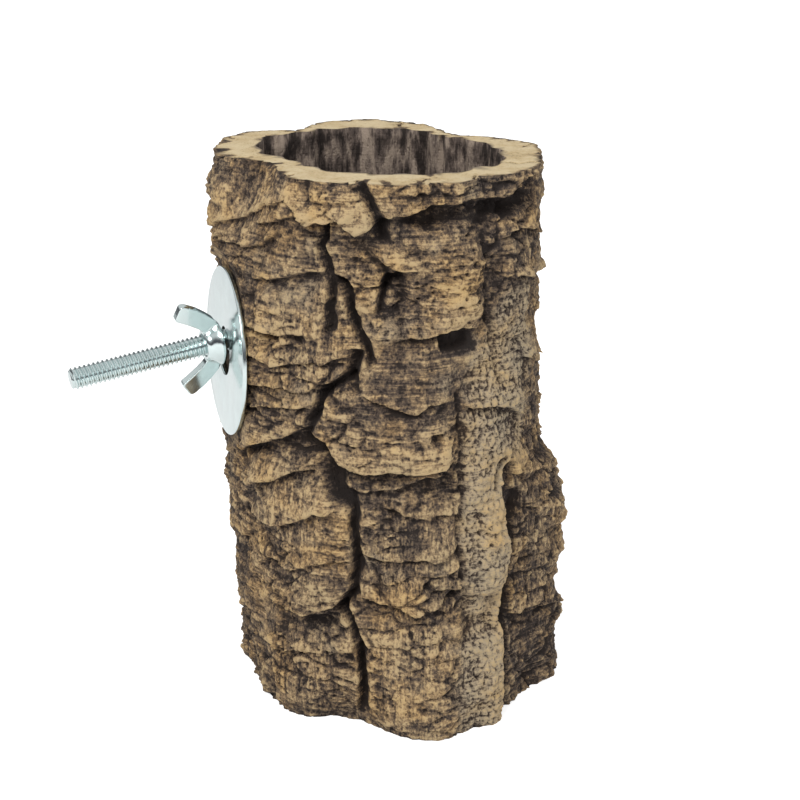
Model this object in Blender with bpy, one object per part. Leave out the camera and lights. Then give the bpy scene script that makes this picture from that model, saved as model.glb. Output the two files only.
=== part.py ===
"""A hollow piece of cork branch that stands on its sawn base, with a screw clamp through its side.

Metres, +Z up. The tube stands on z = 0, the bolt points to -X, and the origin is the middle of the
whole object's box, on the base. Bark sizes are given in millimetres and degrees: an angle of 180 is
the side with the bolt, 270 is the front, and a height is measured from the sawn base.
"""
import itertools
import math
import random

import bmesh
import bpy
import numpy as np
from mathutils import Matrix, Vector

MM = 0.001

# The tube
AXIS_X = 19.62 * MM
AXIS_Y = 1.9 * MM
TUBE_HEIGHT = 155 * MM
BARK_RADIUS = 46 * MM
SAW_ALLOWANCE = 4 * MM

# The clamp
CLAMP_REACH = 46.0 * MM
CLAMP_SIDE = 0.2 * MM
BOLT_TURN = math.radians(9)
BOLT_DROOP = math.radians(8.1)
BOLT_RADIUS = 3.1 * MM
BOLT_FREE_LENGTH = 44.4 * MM
BOLT_LENGTH = 57.15 * MM
BOLT_CHAMFER = 0.6 * MM
BOLT_HEIGHT = 103.6 * MM
HEAD_ACROSS_FLATS = 11.1 * MM
HEAD_THICKNESS = 4.2 * MM
WASHER_TURN = math.radians(4)
WASHER_DROOP = math.radians(-1.5)
WASHER_RADIUS = 23.5 * MM
WASHER_THICKNESS = 1.3 * MM
WASHER_HOLE_RADIUS = 6.7 * MM
WASHER_HEIGHT = 100.5 * MM
INNER_WASHER_RADIUS = 9.0 * MM
INNER_WASHER_THICKNESS = 1.2 * MM
NUT_BASE_RADIUS = 6.4 * MM
NUT_TOP_RADIUS = 4.6 * MM
NUT_HEIGHT = 4.8 * MM
WING_THICKNESS = 2.4 * MM
WING_TURN = math.radians(-15)
GAP = 0.3 * MM

# Outline of one wing: distance from the bolt's axis, then distance from the nut's base
WING_OUTLINE = ((3.9, 0.6), (6.3, 0.5), (8.2, 1.5), (10.1, 3.3), (12.3, 5.9), (13.7, 8.1), (14.3, 9.3),
                (14.4, 10.1), (13.9, 10.7), (12.2, 11.6), (11.0, 12.2), (10.4, 12.1), (9.9, 11.5),
                (8.7, 9.6), (6.9, 7.0), (5.4, 5.2), (4.2, 4.5))

# Outlines of the bark around the tube's axis: height, then angle and radius
OUTLINES = (
    (0, ((0, 48), (20, 44), (33, 38), (50, 41), (70, 44), (92, 46), (106, 45.5), (121, 41), (135, 45),
         (150, 46), (162, 44), (176, 41.5), (194, 41.5), (212, 42.5), (223, 41.5), (231, 39), (244, 38),
         (252, 40), (261, 46), (274, 49), (288, 49.3), (300, 47.5), (312, 44), (322, 43), (332, 48),
         (346, 50.3))),
    (50, ((0, 48.5), (20, 43), (35, 36), (50, 39), (70, 43), (92, 46), (105, 45.5), (121, 40), (135, 45),
          (150, 47), (167, 45.2), (185, 43.9), (200, 43.9), (215, 46), (230, 46.2), (243, 44), (252, 45.5),
          (265, 47.5), (280, 46.8), (292, 47.4), (300, 46.5), (310, 43.5), (320, 45), (332, 48), (346, 50))),
    (90, ((0, 41.5), (15, 40), (33, 33), (50, 37), (70, 42), (90, 45), (105, 45), (121, 39), (135, 45),
          (150, 48.5), (167, 49), (180, 48), (200, 46.5), (215, 46), (228, 45.5), (240, 46.5), (255, 48),
          (270, 47.5), (282, 45.8), (292, 46.3), (300, 45.5), (315, 44), (330, 43), (346, 41.8))),
    (126, ((0, 40.5), (15, 36), (33, 30), (50, 34), (70, 41), (90, 44.5), (105, 44.5), (121, 38), (135, 45),
           (150, 48.5), (167, 48.5), (180, 48), (195, 46), (205, 46), (220, 46.5), (235, 46), (248, 45),
           (258, 45), (270, 46.5), (280, 46.5), (292, 44), (300, 44.5), (315, 43.5), (330, 42), (346, 42))),
    (155, ((4, 37.5), (13, 35), (21, 31), (33, 27.5), (42, 29), (53, 33.5), (63, 38), (72, 40), (82, 43),
           (95, 44.3), (106, 44), (114, 40), (121, 37), (125, 39.5), (133, 45), (145, 47.8), (160, 47.6),
           (178, 45.8), (186, 43.5), (193, 39), (203, 37.5), (216, 42), (226, 45.5), (241, 46.5), (250, 47),
           (258, 49), (270, 47), (279, 48.5), (288, 45.5), (297, 47), (312, 45.5), (334, 42.5), (346, 41.6))),
)
BORE = (
    (0, ((0, 30), (20, 27), (40, 25), (60, 27), (80, 30), (100, 33), (120, 34), (140, 36), (160, 36),
         (180, 34), (200, 32), (220, 32), (240, 32), (260, 36), (280, 37), (300, 37), (320, 34), (340, 32))),
    (155, ((10, 26), (28, 22.7), (41, 23), (58, 26), (79, 27.5), (92, 30.4), (110, 33), (120, 33),
           (135, 36), (144, 38), (156, 36.7), (177, 35), (186, 32), (201, 30), (215, 31), (228, 33),
           (244, 33), (261, 34), (275, 35.5), (285, 36.7), (298, 34.4), (311, 35.7), (330, 32.4), (349, 29))),
)

# Cracks: half width, depth, then their course by angle and height
CRACKS = (
    (1.6, 4.0, ((236, 146), (235, 139), (238, 132), (238, 122), (237, 117))),
    (1.5, 5.0, ((240, 129), (243, 127), (245, 121), (248, 115), (251, 108))),
    (2.0, 5.0, ((246, 110), (244, 103), (238, 101), (233, 97), (230, 91), (228, 85))),
    (3.2, 5.0, ((229, 86), (235, 82), (238, 77), (240, 72), (244, 69))),
    (1.7, 5.0, ((245, 71), (246, 60), (247, 52), (246, 46), (244, 42), (238, 37))),
    (1.8, 6.0, ((239, 37), (242, 33), (246, 27), (248, 18), (247, 8), (247, -4))),
    (1.5, 1.6, ((281, 100), (282, 80), (282, 60), (283, 46))),
    (1.7, 1.3, ((292, 147), (291, 135), (291, 125), (294, 114), (296, 105), (300, 97))),
    (3.4, 7.0, ((303, 72), (305, 64), (305, 50), (304, 38), (303, 22), (304, -4))),
    (2.0, 5.0, ((247, 158), (249, 152), (253, 148), (255, 142))),
    (1.5, 4.0, ((260, 131), (255, 129), (253, 122))),
    (1.3, 2.5, ((299, 77), (297, 73), (296, 68))),
    (1.3, 2.5, ((269, 46), (272, 43), (280, 41))),
    (1.2, 1.8, ((268, 158), (270, 152), (273, 149))),
)

# Ledges: lip, recess below it, how far both reach, then the ledge's course by angle and height
LEDGES = (
    (3.2, 2.6, 6, ((221, 151), (229, 147), (235, 146), (241, 147), (246, 144), (252, 146))),
    (1.6, 2.6, 6, ((252, 147), (262, 148), (272, 150), (284, 150), (299, 149), (306, 151), (316, 153))),
    (1.3, 1.3, 3, ((174, 136), (190, 141), (200, 144), (210, 147), (222, 150))),
    (1.2, 1.3, 3, ((178, 133), (197, 134), (209, 136), (219, 139))),
    (1.1, 1.2, 3, ((203, 141), (213, 142), (223, 144), (234, 145))),
    (1.3, 1.6, 4, ((205, 126), (220, 128), (230, 130), (237, 131))),
    (1.2, 1.6, 3, ((203, 113), (220, 114), (229, 115))),
    (1.2, 1.4, 3, ((204, 105), (221, 106), (232, 107), (243, 109))),
    (1.2, 1.4, 3, ((202, 98), (216, 98), (228, 99), (240, 102))),
    (1.0, 1.2, 3, ((202, 91), (214, 92), (228, 94))),
    (2.6, 3.0, 7, ((196, 79), (205, 81), (213, 82), (220, 85), (229, 87))),
    (2.2, 2.2, 4, ((198, 68), (208, 70), (216, 71), (224, 74), (232, 76))),
    (1.4, 1.3, 4, ((196, 57), (210, 58), (218, 59), (226, 62), (238, 66))),
    (1.0, 1.2, 3, ((202, 46), (214, 47), (226, 48), (242, 51))),
    (2.5, 2.6, 6, ((202, 34), (212, 35), (225, 35), (232, 37), (239, 39))),
    (1.2, 1.0, 4, ((204, 20), (216, 21), (228, 23), (244, 24))),
    (3.0, 3.6, 8, ((229, 87), (234, 85), (240, 80), (252, 80), (264, 79), (277, 80))),
    (1.3, 1.6, 4, ((242, 71), (250, 72), (258, 72), (266, 74), (276, 76))),
    (1.3, 1.3, 3, ((255, 67), (264, 65), (272, 64), (282, 64))),
    (1.2, 1.2, 3, ((250, 55), (262, 53), (272, 52), (282, 54))),
    (1.6, 3.0, 5, ((245, 42), (252, 40), (259, 38), (267, 37), (275, 41), (283, 43))),
    (1.4, 1.6, 4, ((250, 100), (258, 98), (267, 96), (277, 99))),
    (1.6, 1.6, 4, ((259, 114), (268, 113), (275, 114), (288, 114))),
    (1.6, 1.6, 4, ((283, 95), (292, 94), (300, 93), (312, 88))),
    (2.2, 3.0, 5, ((300, 69), (308, 70), (316, 72))),
    (1.6, 1.8, 5, ((305, 28), (315, 27), (330, 24), (346, 20))),
    (1.6, 1.8, 5, ((304, 139), (316, 138), (330, 136), (346, 137))),
    (1.6, 1.8, 5, ((300, 127), (315, 125), (332, 124), (350, 122))),
    (2.0, 1.8, 5, ((310, 105), (325, 101), (345, 100))),
)

# Raised plates: height, angle and height of the middle, half width, half height, slant in degrees
PLATES = (
    (1.8, 223, 120, 12.5, 6.5, 3),
    (1.4, 248, 131, 5, 3.5, 5),
    (2.4, 259, 136, 7, 2.4, -32),
    (2.4, 280, 129, 9, 13, 0),
    (1.6, 256, 88, 17, 8, 0),
    (1.6, 208, 74, 8, 4.5, 12),
    (1.4, 224, 67, 11, 4.5, 10),
    (2.2, 261, 18, 14.5, 17.5, 0),
    (1.2, 224, 16, 14, 12, 3),
    (1.2, 292, 82, 8, 14, 0),
    (1.8, 296, 54, 6, 14, 0),
    (1.4, 297, 8, 6, 9, 0),
    (1.6, 255, 120, 3, 5, 0),
    (1.4, 306, 120, 8, 8, 0),
    (2.5, 345, 52, 12, 5, 0),
    (2.0, 172, 147, 12, 4, 0),
)

# Hollows: depth, then the same
HOLLOWS = (
    (7.0, 279, 112, 4.0, 2.2, 8),
    (4.5, 302, 146, 8, 2.2, 0),
    (3.0, 272, 147, 9, 2.2, -4),
    (6.0, 309, 61, 4.0, 3.8, -10),
    (3.6, 290, 33, 6.5, 6.5, 0),
    (2.5, 258, 125, 3.2, 6, 0),
    (2.2, 272, 87, 1.5, 1.4, 0),
    (3.0, 245, 102, 1.6, 2.4, 10),
    (2.5, 214, 113, 4, 1.5, 0),
    (2.5, 232, 32, 5, 2.4, 8),
    (4.2, 343, 76, 14, 8, 0),
    (3.0, 344, 29, 12, 7, 0),
    (2.0, 343, 140, 13, 5, 0),
    (1.8, 343, 104, 12, 7, 0),
    (2.4, 176, 4, 12, 6, 0),
)

# The hidden back carries cracks and ledges of the same kinds, drawn with a fixed seed
BACK_SEED = 11
BACK_FROM = -12
BACK_TO = 172
BACK_CRACKS = 7
BACK_LEDGE_ROWS = 9

# Fine growth layers and lumps
LAYER_SPACING = 5.2
LAYER_DEPTH = 1.1
LUMP_SIZES = ((17, 1.5), (8, 0.9), (4, 0.5))
WARP = 1.6
FLUTES = 20
FLUTE_DEPTH = 0.7
LEAST_WALL = 5.0

# The bark's mesh before it is thinned
BARK_COLUMNS = 264
BARK_ROWS = 150
BORE_COLUMNS = 60
BORE_ROWS = 11
BARK_SHARE_KEPT = 0.076

CORK_COLOUR = (0.36, 0.24, 0.13, 1.0)
ZINC_COLOUR = (0.72, 0.75, 0.76, 1.0)


def clear_scene():
    """Remove everything that the file starts with."""
    for item in list(bpy.data.objects):
        bpy.data.objects.remove(item, do_unlink=True)


def make_material(name, colour, roughness, metallic):
    material = bpy.data.materials.new(name)
    material.use_nodes = True
    shader = material.node_tree.nodes["Principled BSDF"]
    shader.inputs["Base Color"].default_value = colour
    shader.inputs["Roughness"].default_value = roughness
    shader.inputs["Metallic"].default_value = metallic
    material.diffuse_color = colour
    return material


def add_object(name, mesh_data, material=None):
    """Put a bmesh in the scene as a named object."""
    mesh = bpy.data.meshes.new(name)
    bmesh.ops.recalc_face_normals(mesh_data, faces=mesh_data.faces)
    mesh_data.to_mesh(mesh)
    mesh_data.free()
    item = bpy.data.objects.new(name, mesh)
    bpy.context.scene.collection.objects.link(item)
    if material:
        mesh.materials.append(material)
    return item


def add_cutter(name, mesh_data):
    cutter = add_object(name, mesh_data)
    cutter.hide_render = True
    cutter.display_type = 'WIRE'
    return cutter


def add_boolean(item, cutter, operation):
    modifier = item.modifiers.new(cutter.name, 'BOOLEAN')
    modifier.operation = operation
    modifier.solver = 'EXACT'
    modifier.object = cutter


def noise(points, size, seed):
    """Smooth random values from -1 to 1, one for each point, with lumps of a size."""
    cell = points / size + seed * 17.3
    corner = np.floor(cell).astype(np.int64)
    part = cell - corner
    part = part * part * (3 - 2 * part)
    total = np.zeros(points.shape[:-1])
    for step in itertools.product((0, 1), repeat=3):
        x, y, z = np.moveaxis(corner + step, -1, 0)
        mixed = (x * 73856093) ^ (y * 19349663) ^ (z * 83492791)
        mixed = (mixed ^ (mixed >> 13)) * 1274126177 & 0x7FFFFFFF
        weight = np.prod(np.where(step, part, 1 - part), axis=-1)
        total += weight * (mixed / 0x3FFFFFFF - 1)
    return total


def closed_curve(points, angles):
    """Radii at some angles, on a smooth closed curve through the points."""
    known_angles = np.array([angle for angle, radius in points], float)
    known_radii = np.array([radius for angle, radius in points], float)
    known_angles = np.concatenate([known_angles - 360, known_angles, known_angles + 360])
    known_radii = np.tile(known_radii, 3)
    return smooth_curve(known_angles, known_radii, angles % 360)


def smooth_curve(known_at, known, at):
    """Values of a smooth curve through known ones, which may be rows of values."""
    slopes = np.gradient(known, known_at, axis=0)
    index = np.clip(np.searchsorted(known_at, at) - 1, 0, len(known_at) - 2)
    span = known_at[index + 1] - known_at[index]
    part = np.clip((at - known_at[index]) / span, 0, 1)
    if known.ndim > 1:
        span = span[:, None]
        part = part[:, None]
    start = (1 + 2 * part) * (1 - part) ** 2 * known[index] + part * (1 - part) ** 2 * span * slopes[index]
    end = part ** 2 * (3 - 2 * part) * known[index + 1] - part ** 2 * (1 - part) * span * slopes[index + 1]
    return start + end


def outline_grid(outlines, angles, heights):
    """Radii on a grid of heights and angles."""
    levels = np.array([height for height, points in outlines], float)
    rows = np.array([closed_curve(points, angles) for height, points in outlines])
    return smooth_curve(levels, rows, heights)


def across(angle, middle):
    """Distance around the bark, in millimetres, from an angle."""
    turn = (angle - middle + 180) % 360 - 180
    return np.radians(turn) * BARK_RADIUS / MM


def crack_depth(angle, height, half_width, depth, course):
    """How deep a crack cuts at each place."""
    nearest = np.full(angle.shape, 1e9)
    for (angle_a, height_a), (angle_b, height_b) in zip(course, course[1:]):
        run = np.radians(angle_b - angle_a) * BARK_RADIUS / MM
        rise = height_b - height_a
        side = across(angle, angle_a)
        up = height - height_a
        along = np.clip((side * run + up * rise) / (run * run + rise * rise), 0, 1)
        nearest = np.minimum(nearest, np.hypot(side - along * run, up - along * rise))
    inside = np.clip(1 - nearest / (1.6 * half_width), 0, 1)
    return depth * inside * inside * (3 - 2 * inside)


def ledge_relief(angle, height, lip, recess, reach, course):
    """The lip above a ledge, and the recess under it."""
    middle = (course[0][0] + course[-1][0]) / 2
    turn = (angle - middle + 180) % 360 - 180 + middle
    angles = [point[0] for point in course]
    above = height - np.interp(turn, angles, [point[1] for point in course])
    fade = np.clip(np.minimum(turn - angles[0], angles[-1] - turn) / 4 + 0.5, 0, 1)
    raised = np.where(above > 0, lip * np.exp(-above / reach), -recess * np.exp(above / reach))
    return fade * raised


def plate_relief(angle, height, middle_angle, middle_height, half_width, half_height, slant):
    """One inside a rounded plate, and falling to nothing outside it."""
    side = across(angle, middle_angle)
    up = height - middle_height
    turn = math.radians(slant)
    along = (side * math.cos(turn) + up * math.sin(turn)) / half_width
    square = (up * math.cos(turn) - side * math.sin(turn)) / half_height
    return np.exp(-(along ** 4 + square ** 4) ** 1.5)


def back_features():
    """Cracks and ledges for the hidden back."""
    draw = random.Random(BACK_SEED)
    cracks = []
    for number in range(BACK_CRACKS):
        angle = BACK_FROM + (number + draw.uniform(0.2, 0.8)) * (BACK_TO - BACK_FROM) / BACK_CRACKS
        start = draw.uniform(-10, 60)
        course = []
        for step in range(7):
            course.append((angle, start + 15 * step))
            angle += draw.uniform(-5, 5)
        cracks.append((draw.uniform(1.4, 2.6), draw.uniform(3, 6), course))
    ledges = []
    for row in range(BACK_LEDGE_ROWS):
        angle = BACK_FROM + draw.uniform(-8, 12)
        height = 140 - 15.5 * row
        while angle < BACK_TO:
            width = draw.uniform(14, 34)
            rise = height + draw.uniform(-7, 7)
            course = [(angle + width * part, rise + draw.uniform(-3, 3)) for part in (0, 0.3, 0.6, 1)]
            lip = draw.uniform(0.4, 1.7)
            ledges.append((lip, 1.2 * lip, 3 + 2 * lip, course))
            angle += width + draw.uniform(-2, 10)
    return cracks, ledges


def bark_relief(angle, height, points):
    """How far the bark stands out from its outline, in millimetres."""
    side_warp = WARP * (noise(points, 9, 1) + 0.5 * noise(points, 4, 2))
    up_warp = WARP * (noise(points, 9, 3) + 0.5 * noise(points, 4, 4))
    warped_angle = angle + np.degrees(side_warp * MM / BARK_RADIUS)
    warped_height = height + up_warp
    relief = np.zeros(angle.shape)
    back_cracks, back_ledges = back_features()
    for lip, recess, reach, course in list(LEDGES) + back_ledges:
        relief += ledge_relief(warped_angle, warped_height, lip, recess, reach, course)
    for raised, *place in PLATES:
        relief += raised * plate_relief(warped_angle, warped_height, *place)
    layer = (warped_height / LAYER_SPACING + 0.7 * noise(points, 16, 5)) % 1
    shown = np.clip(0.5 + noise(points, 12, 6), 0, 1)
    relief += LAYER_DEPTH * shown * (0.5 - layer)
    for size, depth in LUMP_SIZES:
        relief += depth * noise(points, size, 7 + size)
    for depth, *place in HOLLOWS:
        relief -= depth * plate_relief(warped_angle, warped_height, *place)
    cut = np.zeros(angle.shape)
    for half_width, depth, course in list(CRACKS) + back_cracks:
        cut = np.maximum(cut, crack_depth(warped_angle, warped_height, half_width, depth, course))
    return relief - cut


def clamp_frame(turn, droop, height):
    """A matrix whose +Z points out along the clamp, turned to the front and drooping."""
    outward = Vector((-math.cos(turn) * math.cos(droop), -math.sin(turn) * math.cos(droop), -math.sin(droop)))
    upward = (Vector((0, 0, 1)) - outward * outward.z).normalized()
    sideways = outward.cross(upward)
    facing = Matrix((upward, sideways, outward)).transposed().to_4x4()
    return Matrix.Translation((AXIS_X - CLAMP_REACH, AXIS_Y + CLAMP_SIDE, height)) @ facing


def bolt_frame():
    return clamp_frame(BOLT_TURN, BOLT_DROOP, BOLT_HEIGHT)


def washer_frame():
    return clamp_frame(WASHER_TURN, WASHER_DROOP, WASHER_HEIGHT)


def press_under_washer(places):
    """Hold the bark behind the clamp washer, as if the washer had pressed it flat."""
    frame = np.array(washer_frame())
    local = (places - frame[:3, 3]) @ frame[:3, :3]
    aside = np.hypot(local[..., 0], local[..., 1])
    limit = np.interp(aside / MM, (0, 26, 31), (0, 0, 5)) * MM - WASHER_THICKNESS / 2 - 2 * GAP
    over = np.maximum(local[..., 2] - limit, 0) * (local[..., 2] > -BARK_RADIUS / 2)
    return places - over[..., None] * frame[:3, 2]


def bark_places(columns, rows):
    """Points of the bark's outside on a grid of rows and columns."""
    angles = np.arange(columns) * 360 / columns
    low = -SAW_ALLOWANCE / MM
    high = (TUBE_HEIGHT + SAW_ALLOWANCE) / MM
    heights = np.linspace(low, high, rows)
    radius = outline_grid(OUTLINES, angles, heights)
    angle, height = np.meshgrid(angles, heights)
    turn = np.radians(angle)
    surface = np.stack([46 * np.cos(turn), 46 * np.sin(turn), height], axis=-1)
    relief = bark_relief(angle, height, surface)
    radius = np.maximum(radius + relief, outline_grid(BORE, angles, heights) + LEAST_WALL)
    height = height - 0.35 * np.maximum(relief, 0)
    height[0] = low
    height[-1] = high
    places = np.stack([radius * np.cos(turn), radius * np.sin(turn), height], axis=-1) * MM
    places += (AXIS_X, AXIS_Y, 0)
    return press_under_washer(places)


def bore_places(columns, rows):
    """Points of the bore, which runs past both ends."""
    angles = np.arange(columns) * 360 / columns
    heights = np.linspace(-10, TUBE_HEIGHT / MM + 10, rows)
    radius = outline_grid(BORE, angles, heights)
    angle, height = np.meshgrid(angles, heights)
    turn = np.radians(angle)
    surface = np.stack([34 * np.cos(turn), 34 * np.sin(turn), height / 3], axis=-1)
    radius = radius + FLUTE_DEPTH * np.cos(FLUTES * turn + 2 * noise(surface, 20, 21))
    radius = radius + 0.9 * noise(surface, 12, 22)
    places = np.stack([radius * np.cos(turn), radius * np.sin(turn), height], axis=-1) * MM
    return places + (AXIS_X, AXIS_Y, 0)


def capped_grid(places):
    """A closed mesh from rows of rings, lowest first."""
    mesh = bmesh.new()
    rings = [[mesh.verts.new(place) for place in row] for row in places]
    for lower, upper in zip(rings, rings[1:]):
        for index, vert in enumerate(lower):
            previous = index - 1
            mesh.faces.new((lower[previous], vert, upper[index], upper[previous]))
    mesh.faces.new(reversed(rings[0]))
    mesh.faces.new(rings[-1])
    return mesh


def turned(profile, segments=32):
    """A solid turned around Z from a profile of radius and height."""
    mesh = bmesh.new()
    verts = [mesh.verts.new((radius, 0, height)) for radius, height in profile]
    edges = [mesh.edges.new(pair) for pair in zip(verts, verts[1:])]
    closed = profile[0][0] > 0
    if closed:
        edges.append(mesh.edges.new((verts[-1], verts[0])))
    bmesh.ops.spin(mesh, geom=verts + edges, cent=(0, 0, 0), axis=(0, 0, 1),
                   angle=math.tau, steps=segments, use_merge=True)
    bmesh.ops.remove_doubles(mesh, verts=mesh.verts, dist=1e-6)
    return mesh


def washer_mesh(outer, inner, thickness, segments):
    """A flat ring, centred on z = 0."""
    half = thickness / 2
    edge = thickness / 6
    return turned(((inner, -half), (outer - edge, -half), (outer, -half + edge),
                   (outer, half - edge), (outer - edge, half), (inner, half)), segments)


def make_cork_tube(material):
    """The bark tube: rough outside, sawn ends, fluted bore, and a hole for the bolt."""
    tube = add_object("cork_tube", capped_grid(bark_places(BARK_COLUMNS, BARK_ROWS)), material)
    thin = tube.modifiers.new("thin", 'DECIMATE')
    thin.ratio = BARK_SHARE_KEPT

    block = bmesh.new()
    bmesh.ops.create_cube(block, size=1)
    side = 4 * BARK_RADIUS
    bmesh.ops.scale(block, verts=block.verts, vec=(side, side, TUBE_HEIGHT))
    bmesh.ops.translate(block, verts=block.verts, vec=(AXIS_X, AXIS_Y, TUBE_HEIGHT / 2))
    add_boolean(tube, add_cutter("saw_cuts", block), 'INTERSECT')

    bore = capped_grid(bore_places(BORE_COLUMNS, BORE_ROWS))
    add_boolean(tube, add_cutter("bore", bore), 'DIFFERENCE')

    seat = BOLT_FREE_LENGTH - BOLT_LENGTH + INNER_WASHER_THICKNESS + 2 * GAP
    seat_radius = INNER_WASHER_RADIUS + 2 * GAP
    hole_radius = BOLT_RADIUS + GAP
    hole = turned(((0, -30 * MM), (seat_radius, -30 * MM), (seat_radius, seat),
                   (hole_radius, seat), (hole_radius, 10 * MM), (0, 10 * MM)))
    bmesh.ops.transform(hole, verts=hole.verts, matrix=bolt_frame())
    add_boolean(tube, add_cutter("bolt_hole", hole), 'DIFFERENCE')
    tube.data.shade_flat()
    return tube


def make_bolt(material):
    """A plain round shank with a hexagon head inside the bore."""
    end = BOLT_FREE_LENGTH
    start = end - BOLT_LENGTH
    mesh = turned(((0, start - HEAD_THICKNESS / 2), (BOLT_RADIUS, start - HEAD_THICKNESS / 2),
                   (BOLT_RADIUS, end - BOLT_CHAMFER), (BOLT_RADIUS - BOLT_CHAMFER, end), (0, end)))
    bolt = add_object("bolt", mesh, material)
    bolt.matrix_world = bolt_frame()

    head = bmesh.new()
    corner = HEAD_ACROSS_FLATS / math.sqrt(3)
    bmesh.ops.create_cone(head, cap_ends=True, segments=6, radius1=corner, radius2=corner,
                          depth=HEAD_THICKNESS)
    bmesh.ops.translate(head, verts=head.verts, vec=(0, 0, start - HEAD_THICKNESS / 2))
    head_piece = add_cutter("bolt_head", head)
    head_piece.matrix_world = bolt.matrix_world
    add_boolean(bolt, head_piece, 'UNION')
    shade_round(bolt)
    return bolt


def make_clamp_washer(material):
    """The large washer outside, which hangs on the bolt by the top of its hole."""
    mesh = washer_mesh(WASHER_RADIUS, WASHER_HOLE_RADIUS, WASHER_THICKNESS, 64)
    washer = add_object("clamp_washer", mesh, material)
    washer.matrix_world = washer_frame()
    shade_round(washer)
    return washer


def make_inner_washer(material):
    """The small washer between the bolt's head and the bark."""
    mesh = washer_mesh(INNER_WASHER_RADIUS, BOLT_RADIUS + GAP, INNER_WASHER_THICKNESS, 32)
    middle = BOLT_FREE_LENGTH - BOLT_LENGTH + GAP + INNER_WASHER_THICKNESS / 2
    bmesh.ops.translate(mesh, verts=mesh.verts, vec=(0, 0, middle))
    washer = add_object("inner_washer", mesh, material)
    washer.matrix_world = bolt_frame()
    shade_round(washer)
    return washer


def nut_seat():
    """Where the nut's base lies along the bolt, so that it just clears the washer around its hole."""
    on_washer = washer_frame().inverted() @ bolt_frame()
    seat = 0
    for step in range(72):
        turn = math.radians(step * 5)
        edge = on_washer @ (Vector((math.cos(turn), math.sin(turn), 0)) * NUT_BASE_RADIUS)
        if math.hypot(edge.x, edge.y) > WASHER_HOLE_RADIUS - 2 * GAP:
            seat = max(seat, (WASHER_THICKNESS / 2 + GAP - edge.z) / on_washer[2][2])
    return seat


def wing_mesh(side):
    """One wing, a blunt blade that leans out from the hub, on the +X or -X side."""
    mesh = bmesh.new()
    verts = [mesh.verts.new((side * x * MM, -WING_THICKNESS / 2, z * MM)) for x, z in WING_OUTLINE]
    face = mesh.faces.new(verts)
    shape = bmesh.ops.extrude_face_region(mesh, geom=[face])
    moved = [item for item in shape["geom"] if isinstance(item, bmesh.types.BMVert)]
    bmesh.ops.translate(mesh, verts=moved, vec=(0, WING_THICKNESS, 0))
    return mesh


def make_wing_nut(material):
    """A hub that widens to its base, with two wings joined to it."""
    place = bolt_frame() @ Matrix.Translation((0, 0, nut_seat())) @ Matrix.Rotation(WING_TURN, 4, 'Z')
    bore = BOLT_RADIUS + GAP
    hub = turned(((bore, 0), (NUT_BASE_RADIUS - 0.4 * MM, 0), (NUT_BASE_RADIUS, 0.5 * MM),
                  (NUT_BASE_RADIUS, 1.4 * MM), (NUT_TOP_RADIUS, NUT_HEIGHT - 0.8 * MM),
                  (NUT_TOP_RADIUS - 0.7 * MM, NUT_HEIGHT), (bore, NUT_HEIGHT)))
    nut = add_object("wing_nut", hub, material)
    nut.matrix_world = place
    for name, side in (("upper_wing", 1), ("lower_wing", -1)):
        wing = add_cutter(name, wing_mesh(side))
        wing.matrix_world = place
        add_boolean(nut, wing, 'UNION')
    shade_round(nut)
    return nut


def shade_round(item):
    item.data.shade_smooth()
    item.data.set_sharp_from_angle(angle=math.radians(35))


def main():
    clear_scene()
    cork = make_material("cork_bark", CORK_COLOUR, 0.9, 0.0)
    zinc = make_material("zinc_plate", ZINC_COLOUR, 0.25, 1.0)
    make_cork_tube(cork)
    make_bolt(zinc)
    make_inner_washer(zinc)
    make_clamp_washer(zinc)
    make_wing_nut(zinc)


main()
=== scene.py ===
"""Looks of the cork branch: bark, sawn ends, fluted bore and zinc-plated clamp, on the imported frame.

Metres, +Z up. Bark sizes are in millimetres and degrees, as on the frame: an angle of 180 is the side
with the bolt, 270 is the front, and a height is measured from the sawn base.
"""
import itertools
import math
import random

import bmesh
import bpy
import numpy as np
from bpy.props import FloatProperty, FloatVectorProperty, IntProperty, PointerProperty
from mathutils import Matrix, Vector


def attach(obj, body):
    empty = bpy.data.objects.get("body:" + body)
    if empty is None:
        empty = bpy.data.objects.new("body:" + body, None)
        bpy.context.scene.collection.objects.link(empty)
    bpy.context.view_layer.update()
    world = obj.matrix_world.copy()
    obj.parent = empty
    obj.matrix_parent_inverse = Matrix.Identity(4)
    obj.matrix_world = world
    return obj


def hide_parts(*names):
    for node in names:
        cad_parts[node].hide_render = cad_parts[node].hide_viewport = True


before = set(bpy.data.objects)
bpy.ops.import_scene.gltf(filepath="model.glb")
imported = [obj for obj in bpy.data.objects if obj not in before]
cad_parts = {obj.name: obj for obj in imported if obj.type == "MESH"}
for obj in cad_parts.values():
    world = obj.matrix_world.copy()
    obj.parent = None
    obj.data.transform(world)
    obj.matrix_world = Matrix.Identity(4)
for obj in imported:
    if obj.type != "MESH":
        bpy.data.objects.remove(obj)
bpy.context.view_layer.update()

bl_info = {
    "name": "Cork Branch",
    "version": (1, 0, 0),
    "blender": (4, 5, 0),
    "location": "View3D > Sidebar > Cork Branch",
    "description": "A hollow piece of cork branch with a screw clamp through its side",
    "category": "Object",
}

MM = 0.001

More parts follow.
